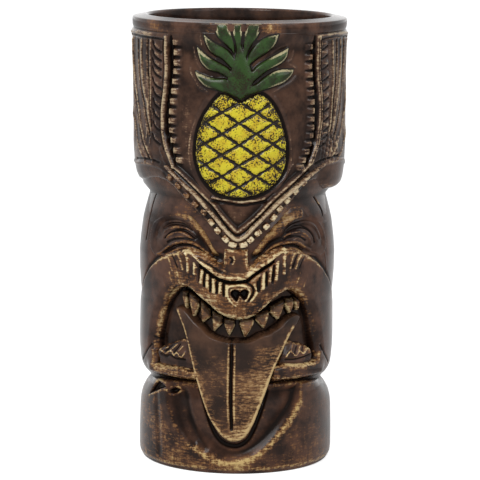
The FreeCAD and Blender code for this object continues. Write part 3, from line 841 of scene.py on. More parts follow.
def carve_cheek(s, z):
    """A cheek: the upper skin with its creases, buried below the edge of the arm."""
    out = upper_skin(s, z) - pit_depth * pits(s, z)
    lift, paint = strokes(crease_strokes, s, z)
    paint["hollow"] += 0.9 * pits(s, z)
    lift = lift * (z > contour_height(s) - 0.3)

    # unworn at the sides, dull on the temples and beside the nose, pale on the brow with a painted sheen
    # above, dark over the arms
    paint["crest"] = -0.3 - 0.55 * ease(np.abs(s), 25, 31) * (1 - ease(z, 96, 98))
    paint["dull"] = 0.8 * spot(s, z, (19.5, 97.5), (4, 4.5))
    paint["dull"] += 0.7 * ease(np.abs(s), 24, 30) * (1 - ease(np.abs(s), 41, 46)) * (1 - ease(z, 93, 98))
    paint["dull"] += 0.8 * (1 - ease(np.abs(s), 9, 14)) * (1 - ease(z, 83, 86))
    patches = spot(np.abs(s), z, (36, 95), (6, 4)) * (z > 80)
    brow = 0.26 * ease(z, 90, 96) * (1 - ease(np.abs(s), 18, 34))
    paint["smear"] += 0.34 * patches + brow + 0.08 * ease(z, 95, 99)
    paint["hollow"] += 0.35 * (1 - ease(z - contour_height(s), 0.5, 4)) * ease(np.abs(s), 28, 36)
    return np.where(z < contour_height(s) - 1.6, buried, out + lift - 0.04), paint


for name, low, high in (("left_cheek", -side_reach, 1), ("right_cheek", -1, side_reach)):
    cheek = relief(name + "_carved", spaced(low, high, 0.31), spaced(58.5, 104.5, 0.31), carve_cheek, sunk,
                   figure_glaze)
    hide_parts(name)


# The eyes: closed lids swollen out of their sockets, each with arched folds above, a long lower lid, and
# a broad brow fold, wiped to tan, that runs down to the bridge of the nose.
lid_strokes = [
    (0.75, -0.9, 0, [(-35.6, 87), (-35.2, 89), (-33.5, 91.3), (-31.6, 92.8), (-29.1, 93.6), (-25.8, 94.1),
                     (-23.2, 93.9), (-20.9, 93.1), (-18.8, 92), (-16.9, 90.5), (-14.9, 89), (-12.9, 86.9),
                     (-11.1, 84.7), (-10, 82.9)]),
    (0.65, 0.4, 0.12, [(-31.4, 91.4), (-28, 92.6), (-22.7, 92.9), (-20.2, 92.3), (-17.8, 91.2),
                       (-15, 88.8)]),
    (0.6, -0.45, 0, [(-31.6, 89.8), (-28.4, 91.5), (-24, 92), (-20.6, 91.6), (-18, 90.5)]),
    (0.7, 0.4, 0.12, [(-30.6, 88.6), (-27.4, 90.3), (-23.9, 91.1), (-20.7, 90.8), (-18.7, 89.9),
                      (-16.4, 88.3)]),
    (0.6, -0.6, 0, [(-30, 86.4), (-28.2, 87.9), (-26.6, 89), (-23.6, 89.9), (-21.1, 89.9), (-19.2, 89.2),
                    (-16.6, 87.6)]),
    (0.6, 0.45, 0.25, [(-28.4, 86.6), (-26.8, 88.1), (-23.9, 89.1), (-21.9, 89.2), (-19.7, 88.4),
                       (-17.1, 87)]),
    (0.7, -0.5, 0, [(-28.6, 85), (-25.2, 86.4), (-21.4, 87.1), (-17.1, 86.8)]),
    (0.75, 0.6, 0.35, [(-33.4, 80), (-31.8, 80.8), (-29.3, 82.7), (-26.5, 84.2), (-23.1, 85.4), (-20.1, 86),
                       (-17.8, 85.9), (-15.5, 85), (-13.3, 83.7), (-11.1, 82.2)]),
    (0.55, -0.5, 0, [(-31, 80.6), (-28, 82.4), (-24, 84.2), (-20, 84.9), (-16, 84.4), (-12.6, 82.4)]),
    (0.7, 0.35, 0.3, [(-30.8, 79.4), (-28, 80.9), (-25.2, 82.3), (-21.3, 83.6), (-17.8, 83.7),
                      (-14.4, 82.9)]),
    (2.4, 0.55, 0.52, [(-18.2, 95.4), (-16.9, 93.9), (-14.9, 92), (-13.5, 90.3), (-12, 88.1), (-10.7, 86.1),
                      (-9.4, 84.1), (-8.3, 82.9), (-6.3, 83)]),
    (0.85, -0.95, 0, [(17.2, 89), (19.2, 91.2), (21.8, 92.9), (24.3, 93.6), (27.2, 93.9), (30.1, 93.8),
                      (33.3, 93.1), (35.8, 91.3), (37.4, 89.4), (38.6, 87.6), (39.1, 85.4), (38.8, 83.6)]),
    (0.7, 0.4, 0.12, [(18, 89.8), (20.8, 91.5), (23.3, 92.3), (25.9, 92.7), (28.7, 92.8), (31.7, 91.9),
                      (34, 90.4), (35.5, 88.4), (36.3, 86.2)]),
    (0.65, -0.6, 0, [(20, 90.2), (23, 91.1), (26.5, 91.2), (28.7, 90.6), (30.6, 89.4), (32, 87.5),
                     (32.8, 85)]),
    (0.7, 0.45, 0.2, [(18.4, 88), (19.9, 88.9), (22.1, 89.6), (25.4, 89.6), (27.3, 88.7), (29.4, 86.8),
                      (30.9, 84.3)]),
    (0.6, -0.5, 0, [(18.4, 87.4), (19.9, 88), (22.9, 88.2), (24.9, 87.8), (27.6, 86.4)]),
    (0.75, 0.6, 0.35, [(10.8, 82.7), (12.5, 84.1), (14.5, 85.2), (17.1, 85.9), (19.9, 86.2), (22.4, 86.1),
                       (25, 85.3), (27.4, 84), (30.7, 82.4)]),
    (0.55, -0.5, 0, [(12.4, 82.6), (15.6, 84.4), (19.5, 85), (23.4, 84.6), (27, 82.8)]),
    (0.7, 0.35, 0.3, [(13.4, 81.8), (16.4, 83.3), (19.8, 83.9), (23.4, 83.4), (26.6, 81.8)]),
    (2.4, 0.55, 0.52, [(6.6, 82.8), (7.6, 84), (9.7, 86.2), (11.8, 88.4), (13.9, 90.3), (16.1, 92.3),
                       (18.4, 93.8),
                      (20.7, 94.7), (23.2, 95.6), (25.8, 96.4)]),
    (0.6, 0.3, 0.5, [(26.7, 97.6), (26.4, 96.4), (26.2, 95.2)]),
]
lid_left = joined(drawn([(-6, 81.5), (-12, 80.6), (-20, 81.6), (-28, 80.1), (-35, 79.0), (-39.6, 82),
                         (-40.8, 86.5), (-39, 90.8), (-35, 93.4), (-30, 95), (-26, 95.4), (-21, 96.2),
                         (-17, 94.6), (-12.2, 90.2), (-8.6, 84.5)], 4))
lid_right = joined(drawn([(5, 81.8), (7.4, 85.5), (12, 91), (17, 95.3), (22, 99), (28, 98.6), (31, 95.2),
                          (36, 93.2), (40, 90.2), (42, 86.4), (41.6, 82), (36, 79.4), (30, 80.2),
                          (22, 81.8), (12, 81.0)], 4))
lid_swell = 2.0
fold_height = 1.35


def carve_eye(s, z):
    """A lid: the sunk socket filled by a mound, with the folds on it."""
    out = upper_skin(s, z)
    for socket in (socket_left, socket_right):
        share = ease(within(socket, s, z, 8), 0.8, 6.5)
        out = out + lid_swell * share * (1 - 0.6 * ease(np.abs(s), 26, 34))
    lift, paint = strokes(lid_strokes, s, z)
    outline = lid_left if s.mean() < 0 else lid_right
    out = out - pit_depth * pits(s, z)

    # the folds are worn, but less towards the temples, and the glaze is dull at both ends of the lid
    paint["hollow"] += 0.9 * pits(s, z)
    paint["smear"] *= 1 - 0.6 * ease(np.abs(s), 19, 26) * (z > 92)
    paint["crest"] = -0.35 - 0.45 * ease(np.abs(s), 26, 31)
    paint["dull"] = 0.7 * ease(np.abs(s), 24, 30) + 0.7 * (1 - ease(np.abs(s), 15, 19))
    mound = (1 - ease(np.abs(z - 96.2), 1, 3.4)) * (1 - ease(np.abs(s), 20, 30))
    paint["smear"] += 0.35 * mound
    return np.where(within(outline, s, z) > 0, out + fold_height * lift + 0.03, buried), paint


lid_glaze = brown_glaze("lid_glaze", dark=(34, 21, 18), body=(80, 58, 48), wiped=(166, 136, 90))
for name, low, high in (("left_eye", -43, -4.5), ("right_eye", 3.5, 44)):
    eye = relief(name + "_carved", spaced(low, high, 0.28), spaced(77.5, 100, 0.28), carve_eye, sunk,
                 lid_glaze)
    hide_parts(name)


# The muzzle: one full upper lip between the arms. A ridge with pointed ends runs along its top, wrinkles
# fan down from the groove under it, and the nostrils are one dark heart in the middle.
snout_strokes = [
    (1.7, 0.5, 0.6, [(-20, 83.4), (-18.2, 82.7), (-15.8, 80.8), (-13.4, 79.1), (-10.7, 77.5), (-8.4, 75.8),
                     (-6.2, 74.8), (-4, 74.1), (-1.2, 73.8), (1.6, 74.2), (3.5, 74.6), (4.8, 75.4),
                     (6.6, 77), (8.9, 78.3), (11.1, 79.5), (13.4, 81), (15.4, 82.1), (17.4, 83.4)]),
    (0.45, -0.3, 0, [(-14, 80.6), (-11, 79), (-8, 77.4), (-5.5, 76)]),
    (0.95, -1.9, -0.3, [(-17.4, 81.3), (-15.1, 79.2), (-13, 77.4), (-10.4, 75.7), (-7.8, 73.9),
                        (-4.9, 72.7), (-1.8, 72.3), (1.3, 72.5), (3.8, 73), (5.7, 74.6), (7.9, 76.1),
                        (10.1, 77.7), (12.4, 79), (14.7, 80.7), (16.6, 82.2)]),
]
wrinkle_tops = [(-18.9, 82.4, -18.5, 75.5, 0.4), (-15.8, 78.9, -15.9, 75.1, 0.75),
                (-12.6, 76.6, -13.3, 72.1, 0.85), (-10.7, 74.8, -10.9, 70.7, 0.85),
                (-8.3, 73.2, -8.4, 68.9, 0.9), (-5.9, 72.3, -6.1, 68.6, 0.75),
                (-3.6, 71.3, -3.6, 67.5, 0.6), (9.8, 75.6, 9.8, 70.3, 0.95),
                (12.4, 77, 11.9, 72.2, 0.7), (15.1, 79.4, 14.8, 73.3, 0.8), (17.8, 81.6, 17.9, 75.3, 0.55)]
wrinkle_gaps = [(-17.1, 79.5, -16.9, 76), (-14, 77.2, -14.5, 72.4), (-11.8, 75.7, -12.1, 70.6),
                (-9.6, 74.2, -9.7, 68.8), (-7.1, 72.5, -7.3, 68.3), (-4.7, 71.9, -4.7, 67.5),
                (8.4, 73.9, 8.3, 69.1), (7.6, 72.8, 7.7, 69.4), (10.9, 75.9, 11, 70.9),
                (13.8, 78.4, 13.4, 72.1), (16.4, 81.1, 16.4, 75.4), (19.5, 81.9, 19.1, 76.9)]


def halfway(first, second, aside=0.0):
    """The middle between two points, moved aside."""
    return ((first[0] + second[0]) / 2 + aside, (first[1] + second[1]) / 2)


for top_s, top_z, low_s, low_z, worn in wrinkle_tops:
    top, low = (top_s, top_z), (low_s, low_z)
    snout_strokes.append((0.95, 0.55, worn, [top, halfway(top, low), low]))
for top_s, top_z, low_s, low_z in wrinkle_gaps:
    top, low = (top_s, top_z), (low_s, low_z)
    snout_strokes.append((0.6, -0.85, -0.3, [top, halfway(top, low), low]))
snout_strokes += [
    (0.6, 0.4, 0.7, [(-2.4, 65.6), (-3.2, 67.5), (-3.5, 69.5), (-2.5, 70.9), (-0.6, 71.2), (1, 71.3),
                     (3.4, 70.9), (4.7, 69.4), (4.4, 67.6), (3.4, 65.8)]),
    (0.5, 0.2, 0.5, [(-2.4, 65.8), (-1.4, 64.6), (-0.2, 63.8)]),
    (0.6, -0.9, -0.2, [(3.5, 72.4), (5.4, 71.2), (6.2, 69.4), (5.4, 67.2), (4.4, 65.6)]),
    (0.55, 0.25, 0.6, [(6.4, 71.6), (7.4, 69.6), (6.8, 67.6), (5.2, 65.6)]),
]
nostrils = drawn([(-1.1, 66.6), (-2, 67.8), (-1.9, 69), (-0.8, 69.7), (0.6, 69.3), (1.2, 68.7), (1.8, 69.3),
                  (2.8, 69.8), (4.1, 69.1), (3.9, 67.6), (2.8, 66.1), (1.7, 67.2), (1.1, 67.6), (0.6, 67),
                  (0.1, 65.6), (-1.1, 66.6)])
nostril_depth = 2.4


def carve_snout(s, z):
    """The muzzle: the lower skin with its ridge and wrinkles, and the nostrils cut deep."""
    out, worn = lower_skin(s, z)
    lift, paint = strokes(snout_strokes, s, z)
    edge = -within(mouth, s, z, 6)
    lift = lift * ease(edge, 1.0, 2.5)
    dark = within(nostrils, s, z)
    out = out + lift - nostril_depth * ease(dark, -0.25, 0.6)
    paint["hollow"] += ease(dark, -0.3, 0.2)
    paint["crest"] = -0.15 * np.ones_like(s)
    paint["smear"] += worn + 0.3 * ease(edge, 0.5, 3) * (1 - ease(z, 66, 72)) - ease(dark, -0.4, 0)
    above = z - contour_height(s)
    out = np.where((edge > 0) & (above > 0.9), buried, out)
    return out + 0.03, paint


snout_glaze = brown_glaze("snout_glaze", body=(88, 58, 38), thin=(126, 82, 44), wiped=(214, 194, 148))
snout = relief("muzzle_carved", spaced(-21, 21, 0.26), spaced(56.8, 86, 0.26), carve_snout, sunk,
               snout_glaze)
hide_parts("muzzle")


# The bridge of the nose: a small block of the same clay between the brow and the muzzle, with worn side
# edges and a small curled nick on its left. The dark pits beside it are carved in the cheeks and eyes.
bridge_outline = joined(np.array([(-7.6, 75.9), (-5.4, 77.6), (-4.9, 79), (-5, 81), (-4.8, 84.5),
                                  (4.2, 84.5), (4.1, 81), (4.3, 79), (4.9, 77.3), (6.4, 75.8),
                                  (3, 73.8), (0, 73.2), (-3, 73.6)], float))
bridge_strokes = [
    (0.45, 0.25, 0.4, [(-5.6, 77.1), (-4.7, 78.6), (-4.4, 81), (-4.3, 83.6)]),
    (0.45, 0.25, 0.35, [(4.9, 76.8), (4.1, 78.6), (3.7, 81), (3.4, 83.4)]),
    (0.7, -0.5, -0.3, [(-2.4, 81.4), (-1.7, 80.5), (-2.1, 79.5)]),
    (0.5, 0.15, 0.5, [(-1.2, 81.8), (-0.8, 80.4), (-1.6, 78.9)]),
]
bridge_radius = 38.7


def carve_bridge(s, z):
    """The bridge: a flat block, fuller where it meets the muzzle."""
    lift, paint = strokes(bridge_strokes, s, z)
    depth = within(bridge_outline, s, z, 4)
    skin = bridge_radius + 0.5 * (1 - ease(z, 75, 79)) + lift
    out = cut_to(skin, depth, 36.0, 0.9)
    out = np.where(depth > 0, out, buried)
    paint["crest"] = -0.25 * np.ones_like(s)
    paint["smear"] += 0.12 + 0.3 * (1 - ease(z, 74.5, 77.5)) - 0.35 * (1 - ease(np.abs(z - 76.4), 0.3, 1.2))
    return out, paint


bridge = relief("nose_bridge_carved", spaced(-9, 8, 0.22), spaced(72.5, 86, 0.22), carve_bridge, sunk,
                snout_glaze)
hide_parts("nose_bridge")


# The teeth: ten points that hang from under the lip, small ones at the ends, each with a worn light
# edge down both sides. They grow out of a gum painted dark as the lip's shadow.
tooth_points = [((-22.2, 65.5), (-20.6, 60.5), (-19.6, 65.1)),
                ((-19.2, 65.1), (-17.5, 57.7), (-14.5, 62.3)),
                ((-14.3, 62.7), (-13.6, 56.1), (-9.8, 58.7)), ((-9.6, 58.6), (-8.9, 53.1), (-5, 56.6)),
                ((-4.9, 56.0), (-2.8, 51.6), (-0.4, 55.8)), ((1.2, 56.1), (3.5, 50.9), (7, 56.3)),
                ((7.2, 57.7), (11, 54.3), (12.9, 59.1)), ((13.1, 60.3), (16.8, 57.3), (19.2, 62.6)),
                ((19.4, 62.9), (22.1, 59.3), (23.5, 62.8)), ((24, 63.1), (25.6, 60.1), (26.4, 61.7))]
gum_line = [(-23.5, 65.3), (-17.5, 64.7), (-14.1, 62.2), (-11.5, 59.7), (-9.3, 57.8), (-6.8, 56.6),
            (-4.3, 55.8), (-0.1, 55.9), (4.2, 56.8), (7.2, 57.6), (11.6, 59.5), (15.4, 61.8), (19.9, 63.1),
            (24.5, 63.3)]


def even(radius):
    """A hidden back of one radius."""
    return lambda z: np.full_like(z, radius)


tooth_radius = 36.2
gum_rise = 2.2


def carve_teeth(s, z):
    """Points under a gum painted dark as the lip's shadow: full over the middle of each, with a light rim.
    """
    roots = read_off(s, gum_line)
    lip = np.interp(s, mouth[:, 0], mouth[:, 1])
    gum = ease(z, roots - 0.4, roots + 0.9) * (1 - ease(z, lip + 1, lip + 2)) * (np.abs(s - 0.5) < 23.6)
    out = np.where(gum > 0.02, buried + gum_rise * gum, buried)
    smear = np.zeros_like(s)
    for left, point, right in tooth_points:
        sides = drawn([left, halfway(left, point, -0.15), (point[0] - 0.15, point[1]),
                       (point[0] + 0.25, point[1] + 0.1), halfway(point, right, 0.2), right], 3)
        tooth = joined(sides, [(right[0], right[1] + 2.5), (left[0], left[1] + 2.5)])
        depth = within(tooth, s, z, 3)
        fall = 0.5 * ease((left[1] + right[1]) / 2 - z, 0, 5)
        skin = tooth_radius - fall + 0.3 * ease(depth, 0.3, 1.3)
        out = np.maximum(out, cut_to(skin, depth, 33.4, 0.7))
        rim = (depth > -0.2) * (1 - ease(depth, 0.3, 0.75))
        smear = smear + 0.8 * rim + 0.1 * (depth > 0)
    # painted shadow: the gum under the lip is painted dark and unworn, and the mouth between the teeth dark
    above = ease(z, roots - 0.2, roots + 1.1)
    return out, {"smear": smear * (1 - 0.8 * above) - 0.2, "hollow": 0.9 * (out < 33) + 0.9 * above}


tooth_glaze = brown_glaze("tooth_glaze", dark=(62, 44, 34), body=(118, 88, 68), wiped=(204, 182, 138))
teeth = relief("upper_teeth_carved", spaced(-24.5, 26, 0.2), spaced(51.4, 73, 0.2), carve_teeth,
               even(31.6), tooth_glaze)
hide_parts("upper_teeth")


# The tongue: it leaves the mouth under the teeth, broad and flat, and tapers down over the waist into
# the scoop. A groove runs down its middle, and the glaze is wiped thinner on its right half.
tongue_outline = joined(drawn([(-25.4, 60.4), (-24.9, 61.1), (-23.2, 61.4), (-20.8, 60.9), (-18.1, 59),
                               (-15.7, 57), (-13, 55.1), (-10.8, 53.1), (-8.3, 51.7), (-5.5, 50.9),
                               (-2.4, 50.3), (0, 50.4), (4.2, 50.4), (6.7, 51.3), (9.1, 52.5),
                               (12.3, 53.2), (13.9, 54.1), (16.5, 55.3), (18.9, 57.2), (21.9, 58.5),
                               (25.2, 58.9), (27.4, 58), (26.6, 56.6), (24.6, 54.7), (21, 50.8),
                               (17.9, 45.8), (15.6, 41.8), (13.5, 37.2), (11.4, 31.6), (9.3, 25.9),
                               (7.3, 20.2), (5.2, 16), (2.7, 13.4), (-0.4, 12.6), (-3, 13.1),
                               (-5.6, 14.9), (-8.2, 18.4), (-10.4, 22.5), (-12.6, 28.6), (-14.9, 35.2),
                               (-16.7, 40.8), (-18.4, 46.9), (-20.3, 52.5), (-22.4, 56.5),
                               (-25.4, 60.4)], 4))
tongue_left_edge = [(-23.4, 59.9), (-21.4, 56.3), (-19.5, 52.3), (-17.6, 46.7), (-15.9, 40.6), (-14.1, 35),
                    (-11.8, 28.4), (-9.6, 22.5), (-7.4, 18.7), (-5, 15.6)]
tongue_right_edge = [(22.6, 54.6), (19.8, 51), (17, 46), (14.8, 42), (12.7, 37.4), (10.6, 31.8),
                     (8.5, 26.2), (6.5, 20.6), (4.4, 16.6)]
tongue_strokes = [
    (0.85, -0.95, -0.4, [(-1.6, 51.5), (-1.6, 47), (-1.7, 38), (-1.7, 28), (-1.4, 21), (-1.3, 17.5)]),
    (0.4, 0.25, 0.55, [(-2.7, 49.6), (-2.8, 44), (-2.9, 34), (-2.8, 26), (-2.5, 20.5)]),
    (0.4, 0.25, 0.65, [(-0.4, 49.6), (-0.4, 44), (-0.5, 34), (-0.5, 26), (-0.3, 20.5)]),
    (0.55, 0.1, 0.75, tongue_left_edge),
    (0.9, 0.15, 0.6, tongue_right_edge),
]
tongue_radius = 28.2
tongue_front = 39.25
tongue_thinning = 1.9


def tongue_back(z):
    """The tongue's hidden back, drawn in where the waist's groove runs behind it."""
    return 31.6 - 1.7 * ease(z, 27, 30) * (1 - ease(z, 37, 40))


def carve_tongue(s, z):
    """The tongue is rounder than the mug, and thins to its tip."""
    depth = within(tongue_outline, s, z, 6) + 0.4
    turn = s / sheet_radius
    front = tongue_front - tongue_thinning * ease(30 - z, 0, 18)
    middle = front - tongue_radius
    bulge = np.sqrt(np.maximum(tongue_radius ** 2 - (middle * np.sin(turn)) ** 2, 1))
    skin = middle * np.cos(turn) + bulge
    skin = skin - 0.7 * ease(z, 50, 59) * (1 - ease(np.abs(s), 8, 16))
    lift, paint = strokes(tongue_strokes, s, z)
    skin = skin + lift * ease(depth, 0.1, 0.9)
    out = cut_to(np.maximum(skin, 33.6), depth, 33, 1.1)

    # the right half is wiped pale, the left half a little, and under the teeth only the edges are
    right_half = ease(s, -1.2, 0.2) * (1 - ease(z - 0.9 * s, 33, 41))
    right_half = right_half + 0.7 * ease(s, 5, 10) * ease(z, 32, 38) * (z < 52)
    paint["smear"] += 0.42 * np.minimum(right_half, 1) + 0.24 * (1 - ease(z, 15.5, 20)) * ease(s, -6, -1)
    paint["smear"] += 0.16 * (s < -1.2) * (1 - ease(z, 42, 48)) - 0.3 * ease(z, 47, 50)
    paint["smear"] += 0.1 * (1 - ease(z, 46, 50)) + 0.15 * (1 - ease(z, 13, 18))
    sides = np.minimum(away(drawn(tongue_left_edge), s, z, 3), away(drawn(tongue_right_edge), s, z, 3))
    edge_band = 1 - ease(sides, 0.5, 1.3)
    paint["crest"] = -0.2 - 0.6 * ease(z, 48, 52) * (1 - edge_band)
    paint["smear"] += 0.3 * edge_band * ease(z, 48, 52)
    return out, paint


tongue_glaze = brown_glaze("tongue_glaze", dark=(38, 24, 16), body=(78, 53, 38), thin=(122, 86, 54),
                           wiped=(192, 164, 116), fibre=0.02)
tongue = relief("tongue_carved", spaced(-27.2, 29, 0.3), spaced(11.2, 62.6, 0.3), carve_tongue,
                tongue_back, tongue_glaze)
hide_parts("tongue")


# The hands: short fingers lie side by side on each forearm, over a scalloped row of knuckles.
# Each is a low pad of the same clay, and the glaze is wiped thin along its raised lines.
finger_strokes = [
    (0.5, 0.35, 0.95, [(-33, 44.4), (-31.3, 44.2), (-29, 43.5), (-27, 44.5), (-25.8, 44.3), (-24.9, 43.3),
                       (-23.8, 44.2), (-22.9, 44.1), (-22.5, 43.3), (-21.4, 42.9), (-20.4, 43.9),
                       (-20, 45)]),
    (0.6, -0.5, 0, [(-32, 42.8), (-29, 42.2), (-27, 43), (-24.6, 42), (-22.4, 42), (-20, 42)]),
    (0.5, 0.3, 0.75, [(-30.8, 43.8), (-29.6, 44.8), (-28.3, 45.8)]),
    (0.5, 0.3, 0.75, [(-26.6, 44.7), (-25.4, 46), (-24.1, 47.2)]),
    (0.5, 0.3, 0.7, [(-22.7, 45.1), (-22, 46), (-21.3, 46.9)]),
    (0.5, -0.5, 0, [(-29.2, 43.9), (-27.6, 45.6), (-26.4, 46.8)]),
    (0.5, -0.5, 0, [(-25, 44.2), (-23.6, 46), (-22.8, 47.4)]),
    (0.5, 0.2, 0.55, [(-32.3, 44.9), (-30.4, 46.3), (-28.1, 47.1), (-25.9, 47.9), (-24.1, 48.6),
                      (-21.9, 49.2), (-20.2, 49.3)]),
    (0.5, 0.3, 0.7, [(-32.8, 44.7), (-34.1, 43.1), (-34.2, 41.2), (-34, 39.6)]),
    (0.5, 0.35, 1.0, [(19.6, 43.9), (21.7, 45.5), (23.8, 43.7), (25.6, 45.1), (26.6, 44.9), (27.8, 44.2),
                      (30.2, 45.7), (31.9, 45.1)]),
    (0.6, -0.5, 0, [(19.4, 42.6), (23.8, 42.3), (27.8, 42.7), (32, 43.4)]),
    (0.45, 0.3, 0.6, [(21.9, 45.7), (22.8, 47), (23.4, 48.2)]),
    (0.45, 0.3, 0.6, [(25.4, 45.4), (26.2, 46.4), (27, 47.2)]),
    (0.45, 0.3, 0.5, [(28.2, 44.8), (29, 45.8), (29.6, 46.5)]),
    (0.5, -0.5, 0, [(23.6, 44.6), (24.4, 46), (25.2, 47)]),
    (0.5, -0.5, 0, [(27.2, 45), (27.9, 46.2), (28.5, 47)]),
    (0.45, 0.2, 0.5, [(20.6, 48.4), (23.1, 48.8), (25.4, 47.7), (27.3, 47.6), (29.3, 46.9), (31.9, 45.4)]),
]
hand_outlines = [joined(drawn([(-34.6, 39), (-34.8, 43), (-33.4, 45), (-30.4, 46.7), (-28.1, 47.5),
                               (-25.9, 48.3), (-24.1, 49), (-21.9, 49.7), (-19.8, 49.8), (-17.4, 48),
                               (-16.6, 44), (-16, 38), (-26, 37.8), (-34, 37.8)], 4)),
                 joined(drawn([(16, 39), (17, 45), (18.6, 48.2), (20.6, 49), (23.1, 49.3), (25.4, 48.3),
                               (27.3, 48.1), (29.3, 47.4), (32.3, 45.7), (33.6, 43), (33.4, 39),
                               (25, 38.6)], 4))]
hand_radius = 36.9


def carve_hand(s, z):
    """A hand: a low pad, highest along its middle, with the fingers drawn on it."""
    lift, paint = strokes(finger_strokes, s, z)
    out = np.full_like(s, buried)
    for outline in hand_outlines:
        depth = within(outline, s, z, 4)
        skin = hand_radius - 1.6 * ease(z, 43.5, 49.5) - 0.9 * (1 - ease(z, 40, 44))
        out = np.maximum(out, cut_to(skin + lift * ease(depth, 0, 0.8), depth, 33, 1.6))
    paint["crest"] = -0.5 * np.ones_like(s)
    return out, paint


for name, low, high in (("left_hand", -37.6, -15.4), ("right_hand", 15, 35)):
    hand = relief(name + "_carved", spaced(low, high, 0.24), spaced(37, 51.6, 0.24), carve_hand,
                  even(31.6), figure_glaze)
    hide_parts(name)


# The headdress: a tall ring over the neck, with a point down over the nose. In front it is recessed for
# the pineapple, between two worn uprights with short bars; outside them run columns and upright lines.
lower_edge = np.array([(-120, 104.3), (-60, 104.3), (-52, 104.8), (-46, 105.4), (-40, 106.6), (-36, 107.1),
                       (-33.7, 107.2), (-29.5, 106.7), (-26.3, 105.4), (-22.3, 102.4), (-17.5, 98.4),
                       (-12.5, 94.2), (-8.3, 90.1), (-4.5, 85.9), (-2.7, 84.6), (0, 84.2), (2.7, 84.6),
                       (4.5, 85.7), (7.2, 88), (11.8, 92), (16.6, 96.6), (21.2, 100.9), (26.2, 105.3),
                       (29.3, 107.3), (32.8, 107.4), (36.7, 104.9), (40.5, 103.6), (46, 103.6), (52, 103.9),
                       (62, 104.3), (120, 104.3)], float)
upright_left = [(-29, 160.4), (-29, 157), (-28.6, 150.7), (-28.6, 146.5), (-29.4, 140), (-30.2, 135),
                (-30.4, 131), (-30.2, 126.2), (-29.5, 123.1), (-28.6, 120), (-27.1, 117), (-25.2, 113.2)]
upright_right = [(32.2, 160.8), (32.3, 157), (32.1, 152), (32.2, 148), (33, 143.2), (33.8, 138),
                 (34.1, 133), (33.9, 129.5), (33.2, 126.2), (32.6, 122.4), (31.3, 119.8), (30, 116.8),
                 (28.6, 114.4)]
inner_left = [(-25.2, 113.2), (-22.3, 111.6), (-19, 109.2), (-15.6, 106.4), (-12.3, 103.6), (-10.2, 101.7),
              (-8.4, 100.2), (-6.5, 97.7), (-3.7, 94.4), (-0.5, 91.2), (0.3, 91)]
inner_right = [(28.6, 114.4), (26, 112.6), (23.2, 110.6), (19.3, 107.8), (15.8, 105), (12.9, 102.6),
               (10.3, 100.1), (8.9, 98.5), (5.7, 95.4), (2.6, 92.7), (0.3, 91)]
panel = joined(drawn(upright_left, 4), drawn(inner_left, 4), drawn(inner_right, 4)[::-1],
               drawn(upright_right, 4)[::-1], np.array([(32.2, 168.0), (-29, 168.0)]))
fruit_outline = drawn([(-6.4, 140.6), (-8.3, 138.8), (-9.9, 136.8), (-11.4, 134.6), (-12.7, 132.6),
                       (-14.5, 128.6), (-15.6, 123.6), (-15.9, 118.6), (-15, 114.2), (-13.1, 110.2),
                       (-10.2, 106.8), (-7.2, 104.6), (-2.7, 103.4), (1.7, 103.2), (6.2, 104.0),
                       (10.3, 105.6), (13.2, 107.5), (15.8, 110.6), (17.4, 113.8), (18.2, 118.3),
                       (17.9, 123.3), (16.6, 128.3), (14.3, 133.9), (11, 138.6), (7.6, 140.8),
                       (5.4, 140.2), (3.5, 139.2), (0.5, 137.8), (-2.5, 139.3), (-4.4, 140.4),
                       (-6.4, 140.6)], 4)
